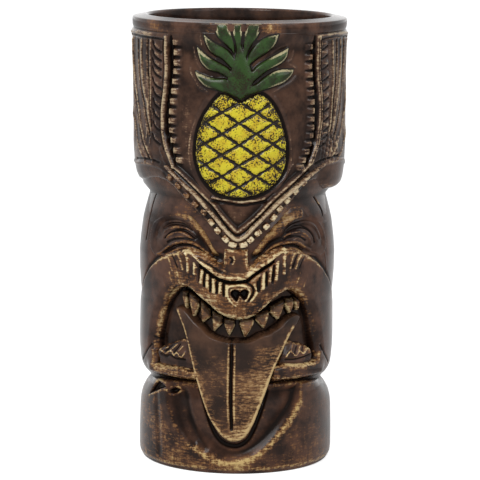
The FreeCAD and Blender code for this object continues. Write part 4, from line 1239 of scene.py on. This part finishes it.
headdress_strokes = [
    (1.2, 0.8, 1.05, upright_left),
    (0.65, 0.7, 0.95, [(point[0] - 0.55, point[1]) for point in upright_right]),
    (0.65, 0.7, 0.95, [(point[0] + 0.6, point[1]) for point in upright_right]),
    (0.75, -0.8, -0.4, [(-27, 160.6), (-26.9, 154.8), (-26.8, 148.6), (-27.4, 143.3), (-28.4, 136.7),
                        (-28.8, 132.5), (-28.6, 128.3), (-28.2, 124.6), (-27.3, 121.2), (-25.8, 117.6),
                        (-24.3, 114.8)]),
    (0.75, -0.8, -0.4, [(30.5, 161.1), (30.1, 155.3), (30.2, 149), (31, 143), (31.7, 136), (31.9, 131),
                        (31.4, 126.6), (30.7, 123.5), (29.5, 120.2), (28.3, 117.4), (27.2, 115.2)]),
    (0.45, -0.6, 0, [(34, 160), (34.1, 152), (34.4, 147), (35.2, 141), (36, 134.7), (35.7, 129.5),
                     (34.8, 125.3), (33.5, 121.2), (31.8, 117.8)]),
    (0.5, -0.6, 0, [(-30.9, 159.4), (-30.6, 150.5), (-30.9, 144.2), (-32, 134.6), (-32.1, 127),
                    (-31.4, 122.4), (-30.2, 119)]),
    (0.5, 0.3, 0.3, [(-32.3, 119.5), (-31, 117.1), (-29.8, 115), (-27.6, 112.9), (-25.9, 111.2)]),
    (0.65, 0.65, 1.0, inner_left),
    (0.65, 0.65, 1.0, inner_right),
    (0.75, -0.8, 0, [(-25, 112.4), (-23, 110.9), (-19, 107.9), (-15.3, 105), (-12.1, 102.2), (-9.7, 100.1),
                     (-7.4, 97.1), (-4.6, 93.5), (-1.9, 90.4), (0.3, 89.5), (3.1, 91.1), (6.6, 94.5),
                     (10.3, 98.2), (13.6, 101.3), (16.5, 103.6), (20, 106.4), (24, 109.1), (28.2, 112)]),
    (0.6, 0.5, 1.1, [(-9.4, 103), (-4.7, 102.4), (-0.8, 101.8), (1.4, 101.6)]),
    (0.6, 0.5, 1.1, [(1.4, 101.6), (4, 102), (7, 102.2), (9.8, 102.9)]),
    (0.7, -0.7, 0, [(-9.6, 101.8), (-4.7, 101.2), (1.4, 100.4), (6, 101), (10.2, 101.8)]),
    (1.7, -0.35, 0, [(-29.5, 110.6), (-27.4, 109), (-19.6, 103.1), (-12.3, 97.4), (-9.5, 93.9),
                     (-7.1, 90.8), (-4.2, 87.8), (-1.7, 85.9), (0.3, 85.3), (2.3, 85.9), (4.8, 87.6),
                     (10.6, 92.5), (15.8, 98.7), (22.5, 104.7), (26.4, 107.8), (28.6, 109.3)]),
    (0.7, 0.4, 0.2, [(9.8, 102.9), (13.5, 106), (16.9, 109.2), (18.9, 112.3), (20.9, 114.9)]),
    (0.7, 0.4, 0.0, [(-58.3, 160.5), (-43.8, 160.8), (-37, 160.7), (-31.4, 160.6), (-28.4, 160.5)]),
    (0.7, 0.4, 0.8, [(31.8, 161), (33.2, 161.2), (37.1, 161.6), (41.4, 161.9), (48, 161.6), (56, 160.8)]),
    (0.5, -0.5, 0, [(-56, 159.4), (-43.8, 159.7), (-37, 159.6), (-31.4, 159.5)]),
    (0.5, -0.5, 0, [(34, 159.9), (38, 160.3), (42, 160.5), (48, 160.2), (56, 159.4)]),
    (0.6, 0.45, 0.45, [(-38.2, 158.8), (-38.3, 148), (-38, 140), (-37.9, 134), (-36.8, 132), (-36.9, 129)]),
    (0.6, -0.7, 0, [(-40.2, 158.6), (-40, 147.7), (-39.3, 142), (-39, 136), (-38, 131.8), (-37.6, 127)]),
    (0.75, 0.5, 0.4, [(-44.7, 158.3), (-44.7, 150), (-43.6, 143), (-42.3, 138.8), (-40.4, 135.8),
                      (-39.6, 131.7),
                       (-38.6, 128.6), (-37.4, 125.4)]),
    (0.6, -0.6, 0, [(-47.4, 158.1), (-47, 148), (-45.7, 141.7), (-44.1, 138.2), (-42.5, 134.4),
                    (-41.2, 130.2), (-39.7, 126.8), (-38.6, 123.4)]),
    (0.8, 0.5, 0.4, [(-53.6, 157.8), (-52.6, 148), (-50.9, 142), (-49.4, 138), (-48, 134.5), (-46.6, 131),
                     (-46.2, 128), (-44, 123.8), (-42.4, 121), (-40.2, 118.6), (-38.4, 116.6),
                     (-36.6, 114)]),
    (0.6, -0.55, 0, [(-55.6, 157), (-54.6, 147), (-53, 140), (-51, 135), (-49.2, 130.6), (-47, 126.2),
                     (-44.8, 121.6), (-41.4, 118), (-39, 115.2)]),
    (0.7, 0.5, 0.1, [(-58.5, 150), (-57.6, 140), (-55.4, 132.6), (-52, 127.4), (-49.6, 122.2),
                     (-46.8, 118.8), (-44.2, 116), (-42, 113.6)]),
    (0.5, 0.3, 0.15, [(-41.4, 127.4), (-40.5, 125.2), (-41.2, 122.6)]),
    (0.5, 0.3, 0.15, [(-38.2, 123.3), (-38.8, 120.6)]),
    (0.6, 0.45, 0.5, [(41.2, 159), (41.9, 151), (42.2, 145), (41.5, 138), (41.1, 133.4), (40.8, 129.2),
                      (39.8, 126)]),
    (0.6, -0.7, 0, [(43.9, 159.2), (44.4, 150), (44.1, 143), (43, 137), (42.4, 132), (41.7, 128),
                    (40.6, 124.6)]),
    (0.65, 0.5, 0.5, [(47.2, 159), (47.7, 150), (46.8, 143.4), (45.4, 137.3), (44, 133), (43.3, 129.4),
                       (42.2, 126.4)]),
    (0.6, -0.6, 0, [(50.8, 159), (50.9, 149), (49.8, 141), (48.2, 135), (46.6, 130.6), (44.8, 126.2),
                    (42.6, 122.4)]),
    (0.8, 0.5, 0.15, [(55, 158.6), (55.2, 148), (54.4, 140), (53, 134), (51, 129.4), (48.8, 125.6),
                      (46.6, 122.4), (43.8, 118.8), (41.2, 116)]),
    (0.7, 0.5, 0.15, [(58.6, 150), (58.2, 138), (57, 130), (54.4, 124.4), (51, 120), (48, 117),
                      (45.6, 115.2)]),
    (0.55, 0.4, 0.3, [(46.2, 123.2), (44.6, 120.8), (45.6, 118.6)]),
    (0.55, 0.4, 0.3, [(41.9, 121.2), (41.2, 119.6), (42, 118.2)]),
    (0.5, 0.4, 0.3, [(38.4, 118.2), (37.4, 117), (38.4, 115.8)]),
    (1.1, 0.4, 0.2, [(-57, 112), (-50.5, 112), (-43.7, 112.8), (-38.1, 113), (-31.8, 112.4), (-28.4, 110.4),
                     (-26.4, 108.8)]),
    (0.6, -0.5, 0, [(-50, 113.8), (-43.7, 114.6), (-37.5, 114.8), (-32.6, 114.2)]),
    (1.1, 0.4, 0.2, [(29.4, 111.9), (32.5, 113), (36.7, 113.9), (41, 114.3), (46.5, 114.6), (53, 113.7),
                     (57.5, 112.2)]),
    (0.6, -0.6, 0, [(31.6, 114.4), (36, 115.6), (40.6, 116.1), (46, 116.3)]),
    (0.6, 0.3, 0.05, [(-11.6, 138.6), (-13.8, 135.2), (-15.9, 131), (-17.5, 126.6), (-18.3, 122.4),
                      (-18.6, 118.4), (-17.9, 114.2), (-16.2, 110.2), (-13.4, 106.4), (-10.4, 103.6)]),
    (0.6, 0.3, 0.05, [(13, 139.6), (15.4, 135.8), (17.6, 131), (19.2, 126), (20, 120.6), (20, 115.6),
                      (18.6, 111.2), (16.4, 107.8), (13.6, 105)]),
    (0.5, 0.4, 0.7, [(-18.2, 149.6), (-17.9, 147.8), (-16, 144.9), (-14.8, 143), (-11.6, 141.3)]),
    (0.5, 0.35, 0.6, [(-17.1, 157.2), (-16.3, 154.2), (-15.4, 151.4), (-14.2, 149.8)]),
    (0.5, 0.35, 0.7, [(-14.3, 163.2), (-14.2, 160.4), (-13.9, 158.2)]),
    (0.5, 0.4, 0.7, [(20.6, 156.2), (19.5, 153.2), (18, 151.8), (20, 150.8), (21.6, 149.9)]),
    (0.5, 0.4, 0.6, [(21.6, 146.8), (19.4, 144.7), (15.8, 142.9), (12.5, 141.5)]),
    (0.5, 0.35, 0.7, [(11.6, 155.6), (14.6, 157.3), (17.9, 158.5)]),
    (1.6, 0, 0.9, [(-12.6, 164.6), (-9.6, 164.4)]),
    (1.8, 0, 0.9, [(8.8, 164.8), (13.4, 164.6)]),
]
left_bars = [(158.6, -26), (155, -25.6), (151.2, -25.6), (148, -25.7), (144.4, -26.2), (140.8, -26.6),
             (137, -27.2), (133.3, -27.6), (129.9, -27.7), (126.5, -27.4), (123, -26.8), (119.3, -25.5),
             (115.9, -24.2)]
right_bars = [(157.2, 29.3), (153.6, 29.3), (150.3, 29.1), (147.2, 29.4), (143.8, 29.9), (140.6, 30.3),
              (137.2, 30.6), (134, 30.8), (131, 30.7), (127.8, 30.7), (125, 30.3), (121.9, 29.5),
              (119.1, 28.5), (116.2, 27.1), (113.6, 26.1)]
left_column = [(157.5, 0), (154.4, 0), (151.2, 0), (148.2, 0), (144.2, 0), (140.6, 0.2), (136.6, 0.4),
               (132.6, 0.5), (128.6, 0.4), (123.8, 0)]
right_column = [(158.3, 36.2), (155, 36.3), (151.2, 36.7), (147, 37.2), (143.2, 37.4), (139.3, 37.5),
                (135.5, 37.8), (131.9, 37.6), (128.5, 37.9), (125.6, 37), (122.9, 36)]
for up, shift in left_column:
    headdress_strokes.append((0.65, -0.75, -0.3, [(-37.2 + shift, up + 0.8), (-36.4 + shift, up - 0.8),
                                                  (-34.8 + shift, up - 2.1), (-32 + shift, up - 3)]))
    headdress_strokes.append((1.2, 0.45, 0.4, [(-35 + shift, up - 0.2), (-33.2 + shift, up - 1.1)]))
for up, out in right_column:
    headdress_strokes.append((1.35, 0.6, 0.3, [(out - 0.5, up), (out + 0.6, up)]))
    headdress_strokes.append((0.45, 0.2, 0.6, [(out - 1.5, up + 0.8), (out - 1.6, up - 0.8)]))
    headdress_strokes.append((0.5, -0.6, -0.2, [(out - 1.9, up - 2.4), (out, up - 1.9),
                                                (out + 1.8, up - 1.1)]))
bar_height = 0.9
flutes_from = 53
flutes_span = 66.4
flute_count = 8
flute_depth = 0.35


def tucked(z):
    """A radius just inside the cup's wall, for flanges that must not show."""
    return read_off(z, [(99, 32.4), (106, 34.6), (108, 36.2)])


def recess_floor(z):
    """The recess is deep behind the fruit and comes forward under the lip."""
    return 37.6 + 2.1 * ease(z, 156, 162.6)


def carve_headdress(s, z):
    """The ring's skin: full above, rounded under to the neck, recessed in front of the pineapple."""
    above = z > np.interp(s, lower_edge[:, 0], lower_edge[:, 1])
    edge = away(lower_edge, s, z, 16) * np.where(above, 1, -1)
    front = 1 - ease(np.abs(s), 20, 36)
    out = read_off(z, [(84, 39.2), (112, 39.3), (125, 39.35), (135, 39.5), (145, 39.7), (155, 39.9),
                       (160, 39.95)])
    fall_side = read_off(edge, [(0, 5.5), (0.5, 3.6), (1.5, 2.2), (3.5, 1.3), (6.5, 0.7), (11.5, 0.15),
                                (15, 0)])
    fall_front = read_off(edge, [(0, 4.5), (0.6, 2.4), (1.5, 1.4), (3, 1.0), (6, 0.5), (12, 0.2)])
    fuller = ease(s, 34, 50) * (1 - ease(s, 74, 90))
    out = out + 0.75 * fuller * ease(z, 100, 106) * (1 - ease(z, 120, 150))
    out = out - fall_front * front - fall_side * (1 - 0.4 * fuller) * (1 - front)
    columns = ease(np.abs(s), 30, 33) * (1 - ease(np.abs(s), 50, 54)) * ease(z, 116, 124)
    out = out - 0.55 * columns * (1 - ease(z, 159, 160.5))

    # the recess, sunk a little more round the fruit, and the short bars on its uprights
    recess = within(panel, s, z, 8)
    share = ease(recess, -0.2, 1.6)
    out = out * (1 - share) + np.minimum(recess_floor(z), out) * share
    round_fruit = away(fruit_outline, s, z, 3)
    out = out - 0.45 * (1 - ease(round_fruit, 0.6, 1.7)) * (recess > 0)
    lift, paint = strokes(headdress_strokes, s, z)
    for row, inward in ((left_bars, 1), (right_bars, -1)):
        for up, end in row:
            reach = (s - end) * inward
            tall = 1 - ease(np.abs(z - up), 0.85, 1.35)
            block = tall * ease(reach, -0.3, 0.4) * (1 - ease(reach, 1.4, 4.2))
            lift += bar_height * block
            paint["smear"] += block * (0.7 + 0.5 * (1 - ease(reach, 0.2, 1.6)))
            gap = (1 - ease(np.abs(z - up + 1.8), 0.1, 0.8)) * ease(reach, -0.8, 0)
            gap = gap * (1 - ease(reach, 1, 3.6))
            paint["hollow"] += 0.6 * gap
    out = out + lift

    # the flutes round the back, the line above them, and the chips beside the right upright
    behind = ease(np.abs(s), 50, 56) * ease(z, 113, 120) * (1 - ease(z, 157.5, 159))
    flute = np.cos((np.abs(s) - flutes_from) / flutes_span * 2 * math.pi * flute_count)
    out = out + behind * flute_depth * flute - 0.3 * behind
    top_line = ease(np.abs(s), 52, 56) * (1 - ease(np.abs(z - 160), 0.6, 1.4))
    out = out + 0.25 * top_line
    chips = ease(s, 33, 36) * (1 - ease(s, 43, 46)) * ease(z, 113, 116) * (1 - ease(z, 124, 127))
    out = out + 0.25 * chips * np.sin(s * 2.1 + z * 1.3) * np.sin(z * 1.9 - s * 0.7)
    out = np.where(z > 161.9, np.minimum(out, 39.3 + 0.35 * front), out)
    out = np.where(edge > 0, np.maximum(out, tucked(z)), tucked(z))

    # where the dip is wiped thin, where it pools, and where it lost its shine
    paint["smear"] += 0.3 * top_line + 0.2 * behind * (flute > 0.5) - 0.3 * share * (z > 104)
    corner = 0.6 * (1 - ease(z, 97.5, 99.5)) * (recess > 1.2)
    paint["smear"] += corner + 0.25 * (1 - ease(np.abs(edge - 1.0), 0.5, 1.2)) * front
    paint["hollow"] += 0.95 * (1 - ease(round_fruit, 0.9, 1.5)) * (recess > 0)
    paint["crest"] = -0.55 + 0.2 * ease(np.abs(s), 36, 40)
    paint["dull"] = 0.6 * (z < 104) * (recess > -1.5)
    paint["smear"] += 0.5 * ease(np.abs(s), 36, 40) * (1 - ease(np.abs(s), 58, 64)) * ease(z, 112, 118)
    rust = np.exp(-((np.abs(s - 1) - 21) / 4) ** 2) * ease(z, 104, 110)
    rust = rust * (1 - ease(z, 134, 146)) * (recess > 1)
    paint["smear"] += 0.65 * rust + 0.28 * ease(-s, 8, 16) * ease(z, 108, 120) * (recess > 1)
    return out, paint


def under_headdress(z):
    """The hidden back of the headdress, inside the cup's wall."""
    return read_off(z, [(84, 31.4), (99, 31.4), (107, 34.0), (110, 35.4)])


headdress_glaze = brown_glaze("headdress_glaze", dark=(36, 22, 16), body=(86, 60, 46),
                              thin=(122, 94, 72), wiped=(182, 162, 130))
headdress = relief("headdress_carved", spaced(-half_round, half_round, 0.4, 0.72),
                   spaced(82.6, 163.2, 0.42), carve_headdress, under_headdress, headdress_glaze,
                   whole_turn=True)
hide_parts("headdress")


# The brow band: one worn ridge that follows the point of the headdress, above the row of beads. It is
# wiped pale along its top, and stays browner towards its ends.
band_line = drawn([(-27.6, 113.3), (-22.9, 109.6), (-19.1, 106.7), (-15.5, 104), (-12.3, 100.6),
                   (-9.7, 97.9), (-7.1, 94.9), (-4.6, 91.8), (-2.3, 89.4), (-0.1, 88), (2.6, 89.1),
                   (4.9, 91.6), (8, 94.8), (11.2, 98.1), (15, 101.6), (19, 104.6), (23.8, 108),
                   (29.1, 111.2), (34.7, 113.8)])
band_radius = 39.75
band_half = 0.95


def carve_band(s, z):
    """A rounded ridge on the line, wiped on its top and darker towards its ends."""
    side = away(band_line, s, z, 3)
    out = cut_to(np.full_like(s, band_radius), band_half - side, 37.6, 0.7)
    dim = ease(-s, 10, 20) + ease(s, 24, 32)
    smear = 0.7 * (1 - ease(side, 0.2, 0.8)) * (1 - 0.6 * dim)
    return np.where(side < band_half, out, tucked(z)), {"smear": smear, "crest": -0.35 * dim}


band = relief("brow_band_carved", spaced(-29.4, 36.4, 0.25), spaced(86.2, 115.4, 0.25), carve_band,
              under_headdress, headdress_glaze)
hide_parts("brow_band")


# The beads: small blunt blocks in a row under the brow band, pale where the glaze is wiped off them and
# browner towards both ends. They are cubes with bevelled edges, each turned along the row.
bead_places = [(-27.6, 109.3), (-23.7, 106.5), (-19.8, 103.4), (-16.2, 100.3), (-12.5, 97.7), (-9.7, 94.2),
               (-7.3, 91.1), (-4.3, 88.1), (-1.7, 86.1), (2.3, 86.1), (4.9, 87.9), (7.7, 90.4),
               (10.8, 92.8), (13.6, 95.9), (16, 99), (19.1, 102), (22.7, 105), (26.4, 108)]
bead_seat = 38.1
bead_width = 2.6
middle_bead_width = 3.1
bead_depth = 2.2
bead_height = 2.1
bead_bevel = 0.6
bead_shape = bmesh.new()
for number, (round_at, up_at) in enumerate(bead_places):
    before = bead_places[max(number - 1, 0)]
    after = bead_places[min(number + 1, len(bead_places) - 1)]
    slope = math.atan2(after[1] - before[1], after[0] - before[0])
    angle = float(drawn_in(round_at / sheet_radius, 39.2))
    turn = Matrix.Rotation(angle, 4, "Z") @ Matrix.Translation((0, -bead_seat * mm, up_at * mm))
    turn = turn @ Matrix.Rotation(-slope, 4, "Y")
    across = middle_bead_width if abs(round_at) < 3 else bead_width + 0.2 * (number % 2)
    size = Matrix.Diagonal((across * mm, bead_depth * mm, bead_height * mm, 1))
    bead = bmesh.ops.create_cube(bead_shape, size=1, matrix=turn @ size)["verts"]
    bead_edges = list({edge for vert in bead for edge in vert.link_edges})
    bmesh.ops.bevel(bead_shape, geom=bead_edges, offset=bead_bevel * mm, affect="EDGES", segments=3,
                    profile=0.5, material=-1)
bead_crest = bead_shape.verts.layers.float.new("crest")
for vert in bead_shape.verts:
    outward = math.hypot(vert.co.x, vert.co.y) / mm
    share = 0.8 if vert.co.x < -6 * mm else 1.05
    share -= 0.45 * limited((-vert.co.x / mm - 9) / 9) + 0.35 * limited((vert.co.x / mm - 18) / 6)
    vert[bead_crest] = share * limited((outward - 38.5) / 0.6)
bmesh.ops.recalc_face_normals(bead_shape, faces=bead_shape.faces)
bead_glaze = brown_glaze("bead_glaze", wiped=(212, 196, 160))
beads = placed("brow_beads_pressed", bead_shape, bead_glaze)
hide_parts("brow_beads")


# The pineapple: a domed fruit in the recess, cut across both ways into diamonds. It is painted yellow
# under the clear glaze, and the brown dip stays in its cuts and in pin holes near its edge.
fruit_edge = 38.1
fruit_swell = 1.5
cut_depth = 0.6
cut_slope = 0.611
cut_spacing = 7.7
cuts_meet = (0.3, 138.0)
slant = 0.853


def from_cut(height):
    """How far each point is from the nearest of the slanting cuts, squarely across it."""
    return np.abs((height + cut_spacing / 2) % cut_spacing - cut_spacing / 2) * slant


def carve_fruit(s, z):
    """The fruit: domed inside its outline, with waving cuts that cross."""
    depth = within(fruit_outline, s, z, 9)
    out = fruit_edge + fruit_swell * ease(depth, -1, 9)
    along = cut_slope * (s - cuts_meet[0])
    above = z - cuts_meet[1]
    cut = np.minimum(from_cut(above - along), from_cut(above + along))
    cut = cut - 0.12 * np.sin(1.7 * s + 0.9 * z) - 0.1 * np.sin(2.9 * z - 1.3 * s)
    out = out - cut_depth * (1 - ease(cut, 0.1, 0.8)) + 0.25 * ease(cut, 0.4, 2.2)
    out = cut_to(out, depth, 37.2, 0.9)
    paint = {"hollow": 0.95 * (1 - ease(cut, 0.28, 0.66)) * (depth > 0.7) + 1.0 * (depth < 0.15),
             "smear": 0.8 * (1 - ease(depth, 0.4, 0.9)) * (depth > 0),
             "fleck": 0.1 * (1 - ease(depth, 0.8, 5)) + 0.06 * (1 - ease(cut, 0.4, 1.8))}
    return np.where(depth > 0, out, 36.6), paint


def speckled_glaze():
    """An under-glaze colour with dark flecks, pale where it is wiped and dark in the cuts."""
    tree, given, put = effect_group(
        "speckled_glaze",
        {"Smear": "Float", "Hollow": "Float", "Fleck": "Float", "More Flecks": "Float", "Paint": "Color",
         "Shade": "Color", "Pale": "Color", "Fleck Colour": "Color"},
        {"Colour": "Color", "Height": "Float"})
    grain = noise(tree, 1900, 2, 0.55)
    patches = noise(tree, 260, 3, 0.6)
    painted = mixed(tree, ranged(tree, patches, 0.4, 0.6), given["Paint"], given["Shade"])
    worn = worked(tree, "MULTIPLY_ADD", given["Smear"], 0.6, grain)
    painted = mixed(tree, ranged(tree, worn, 0.72, 1.1), painted, given["Pale"])
    likely = worked(tree, "ADD", worked(tree, "ADD", given["Fleck"], given["More Flecks"]), grain)
    spots = worked(tree, "MULTIPLY_ADD", patches, 0.4, likely)
    painted = mixed(tree, ranged(tree, spots, 0.8, 0.85), painted, given["Fleck Colour"])
    painted = mixed(tree, ranged(tree, given["Hollow"], 0.25, 0.8), painted, colour(22, 13, 8))
    fed(tree, (put["Colour"], put["Height"]), (painted, grain))
    return tree


speckled_group = speckled_glaze()


def painted_glaze(name, paint, shade, pale, fleck, more_flecks=0.0):
    """The under-glaze colour on one piece, under the clear glaze."""
    material, _, shader = glazed(
        name, speckled_group, ("Smear", "Hollow", "Fleck"),
        {"Paint": colour(*paint), "Shade": colour(*shade), "Pale": colour(*pale),
         "Fleck Colour": colour(*fleck), "More Flecks": more_flecks}, 0.2 * mm)
    shader.inputs["Roughness"].default_value = 0.36
    shader.inputs["Specular IOR Level"].default_value = 0.12
    shader.inputs["Coat Weight"].default_value = 0.2
    shader.inputs["Coat Roughness"].default_value = 0.15
    return material


fruit_glaze = painted_glaze("pineapple_glaze", paint=(198, 184, 44), shade=(186, 160, 38),
                            pale=(176, 164, 128), fleck=(30, 22, 8), more_flecks=0.02)
fruit = relief("pineapple_carved", spaced(-16.6, 18, 0.22), spaced(102.2, 141.8, 0.22), carve_fruit,
               even(35.6), fruit_glaze)
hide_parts("pineapple")


# The crown: pointed leaves that fan out from the top of the fruit, the upper ones over the rim to the
# lip. They are green with pale worn tips, with the outline cut in between them.
leaves = [
    [(-15.9, 148.4), (-13.7, 147.5), (-10.5, 146.5), (-7.6, 146.3), (-4.6, 146.2), (-0.4, 143), (0.9, 139),
     (-2.9, 140.7), (-7, 141.9), (-10.1, 142.7), (-12.2, 143.4), (-14.2, 145), (-15.5, 147)],
    [(-15.4, 157.3), (-13.5, 155.6), (-11.4, 154), (-8.5, 152.5), (-5.7, 151.1), (-3.5, 149.7),
     (-1.6, 147.6), (-3.8, 146.6), (-5.7, 147.5), (-7.9, 148.6), (-10.8, 149.3), (-12.5, 150.4),
     (-14, 152.2), (-14.9, 155)],
    [(-12.6, 161.9), (-10.9, 160.3), (-8.6, 158.8), (-6.4, 157.9), (-4.7, 156.9), (-3, 155.3),
     (-1.6, 153.4), (-1.5, 149.6), (-3, 150.2), (-4.6, 151.9), (-6.3, 153.3), (-8.6, 154.6),
     (-10.6, 156), (-11.7, 157.8), (-12.4, 160)],
    [(-8.9, 166.2), (-8.4, 163.2), (-7.5, 161.3), (-5.8, 159.4), (-4.2, 157.9), (-2.5, 156.2), (-1.5, 153),
     (-1.9, 158.6), (-2.8, 161.3), (-3.7, 163.8), (-4.4, 166.2)],
    [(-2.7, 166.2), (-2.3, 163), (-1.5, 160), (-1.2, 156), (-2.2, 152.6), (-3.2, 149.2), (-4.4, 146),
     (-2.2, 142), (0.9, 139.2), (4, 142.3), (5.4, 146), (4.4, 150), (3, 153.4), (1.9, 156),
     (0.7, 158.6), (0.7, 162.7), (1, 166.2)],
    [(2.4, 166.2), (1.9, 161.8), (1.5, 158.7), (1.3, 155.6), (2.4, 153.6), (3.3, 156.3), (4.9, 159.5),
     (6.5, 162.2), (7.3, 164.5), (7.6, 166.2)],
    [(13.9, 162.2), (10.7, 161.6), (7.9, 160.3), (5.7, 158.4), (4.1, 156.4), (2.9, 154), (2.9, 150.2),
     (4.4, 152), (6.1, 153.5), (8.6, 155), (11.4, 157), (13.1, 159.2)],
    [(17.9, 157.1), (15.8, 156), (12.3, 154.3), (9.4, 152.8), (7.2, 151.5), (5.3, 149.8), (3.6, 147.7),
     (4.4, 144.6), (5.9, 145.9), (8.1, 147.6), (10.3, 149.3), (13.2, 150.7), (15.6, 152), (17.4, 154.1)],
    [(20.2, 149.3), (16.8, 149.5), (13.8, 149.2), (10.9, 147.8), (8.1, 146), (5.9, 144.4), (1.5, 142.6),
     (0.9, 139), (2.1, 140.1), (4.8, 141), (8.2, 142.1), (12.4, 143.5), (16.3, 144.8), (19, 146.9)],
]


def carve_leaves(s, z):
    """Each leaf is rounded towards its own outline, so that a cut is left between neighbours."""
    skin = read_off(z, [(139, 39.4), (158, 39.5), (161, 39.9), (163, 40.25), (164.4, 40.28),
                        (165.8, 40.15), (166.4, 39.2)])
    ground = read_off(z, [(139, 37.2), (156, 37.2), (162.6, 39.5), (165.8, 39.7), (166.4, 38.8)])
    deep = np.full_like(s, -3.0)
    for leaf in leaves:
        deep = np.maximum(deep, within(drawn(leaf + leaf[:1], 4), s, z, 3) + 0.12)
    out = cut_to(skin - 0.5 * (1 - ease(deep, 0, 2.2)), deep, ground, 0.7)
    tips = ease(np.abs(s - 0.5), 8.5, 14.5) + 1.3 * ease(z, 160.8, 164.6) * (np.abs(s) < 9.5)
    rim = (deep > 0) * (1 - ease(deep, 0.35, 1.1))
    heart = spot(s, z, (1.2, 145), (3.6, 4.2))
    paint = {"smear": (0.75 * tips * (0.35 + rim) + 0.3 * rim) * (deep > 0),
             "hollow": 1.0 * (deep < 0.1) + 0.42 * heart,
             "fleck": 0.14 * heart}
    shadow = np.minimum(recess_floor(z), skin - 0.2) + 0.12
    out = np.where(deep > 0, np.maximum(out, shadow), shadow)
    return np.where(deep > -0.75, out, ground - 0.9), paint


def under_leaves(z):
    """The crown's hidden back, which follows the wall out to the lip."""
    return read_off(z, [(138, 35.6), (160, 35.6), (163, 37.5), (166.6, 37.2)])


leaf_glaze = painted_glaze("leaf_glaze", paint=(42, 66, 27), shade=(32, 45, 18), pale=(172, 163, 128),
                           fleck=(36, 28, 12))
crown = relief("pineapple_crown_carved", spaced(-17.4, 21.4, 0.22), spaced(137.9, 166.4, 0.22),
               carve_leaves, under_leaves, leaf_glaze)
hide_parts("pineapple_crown")
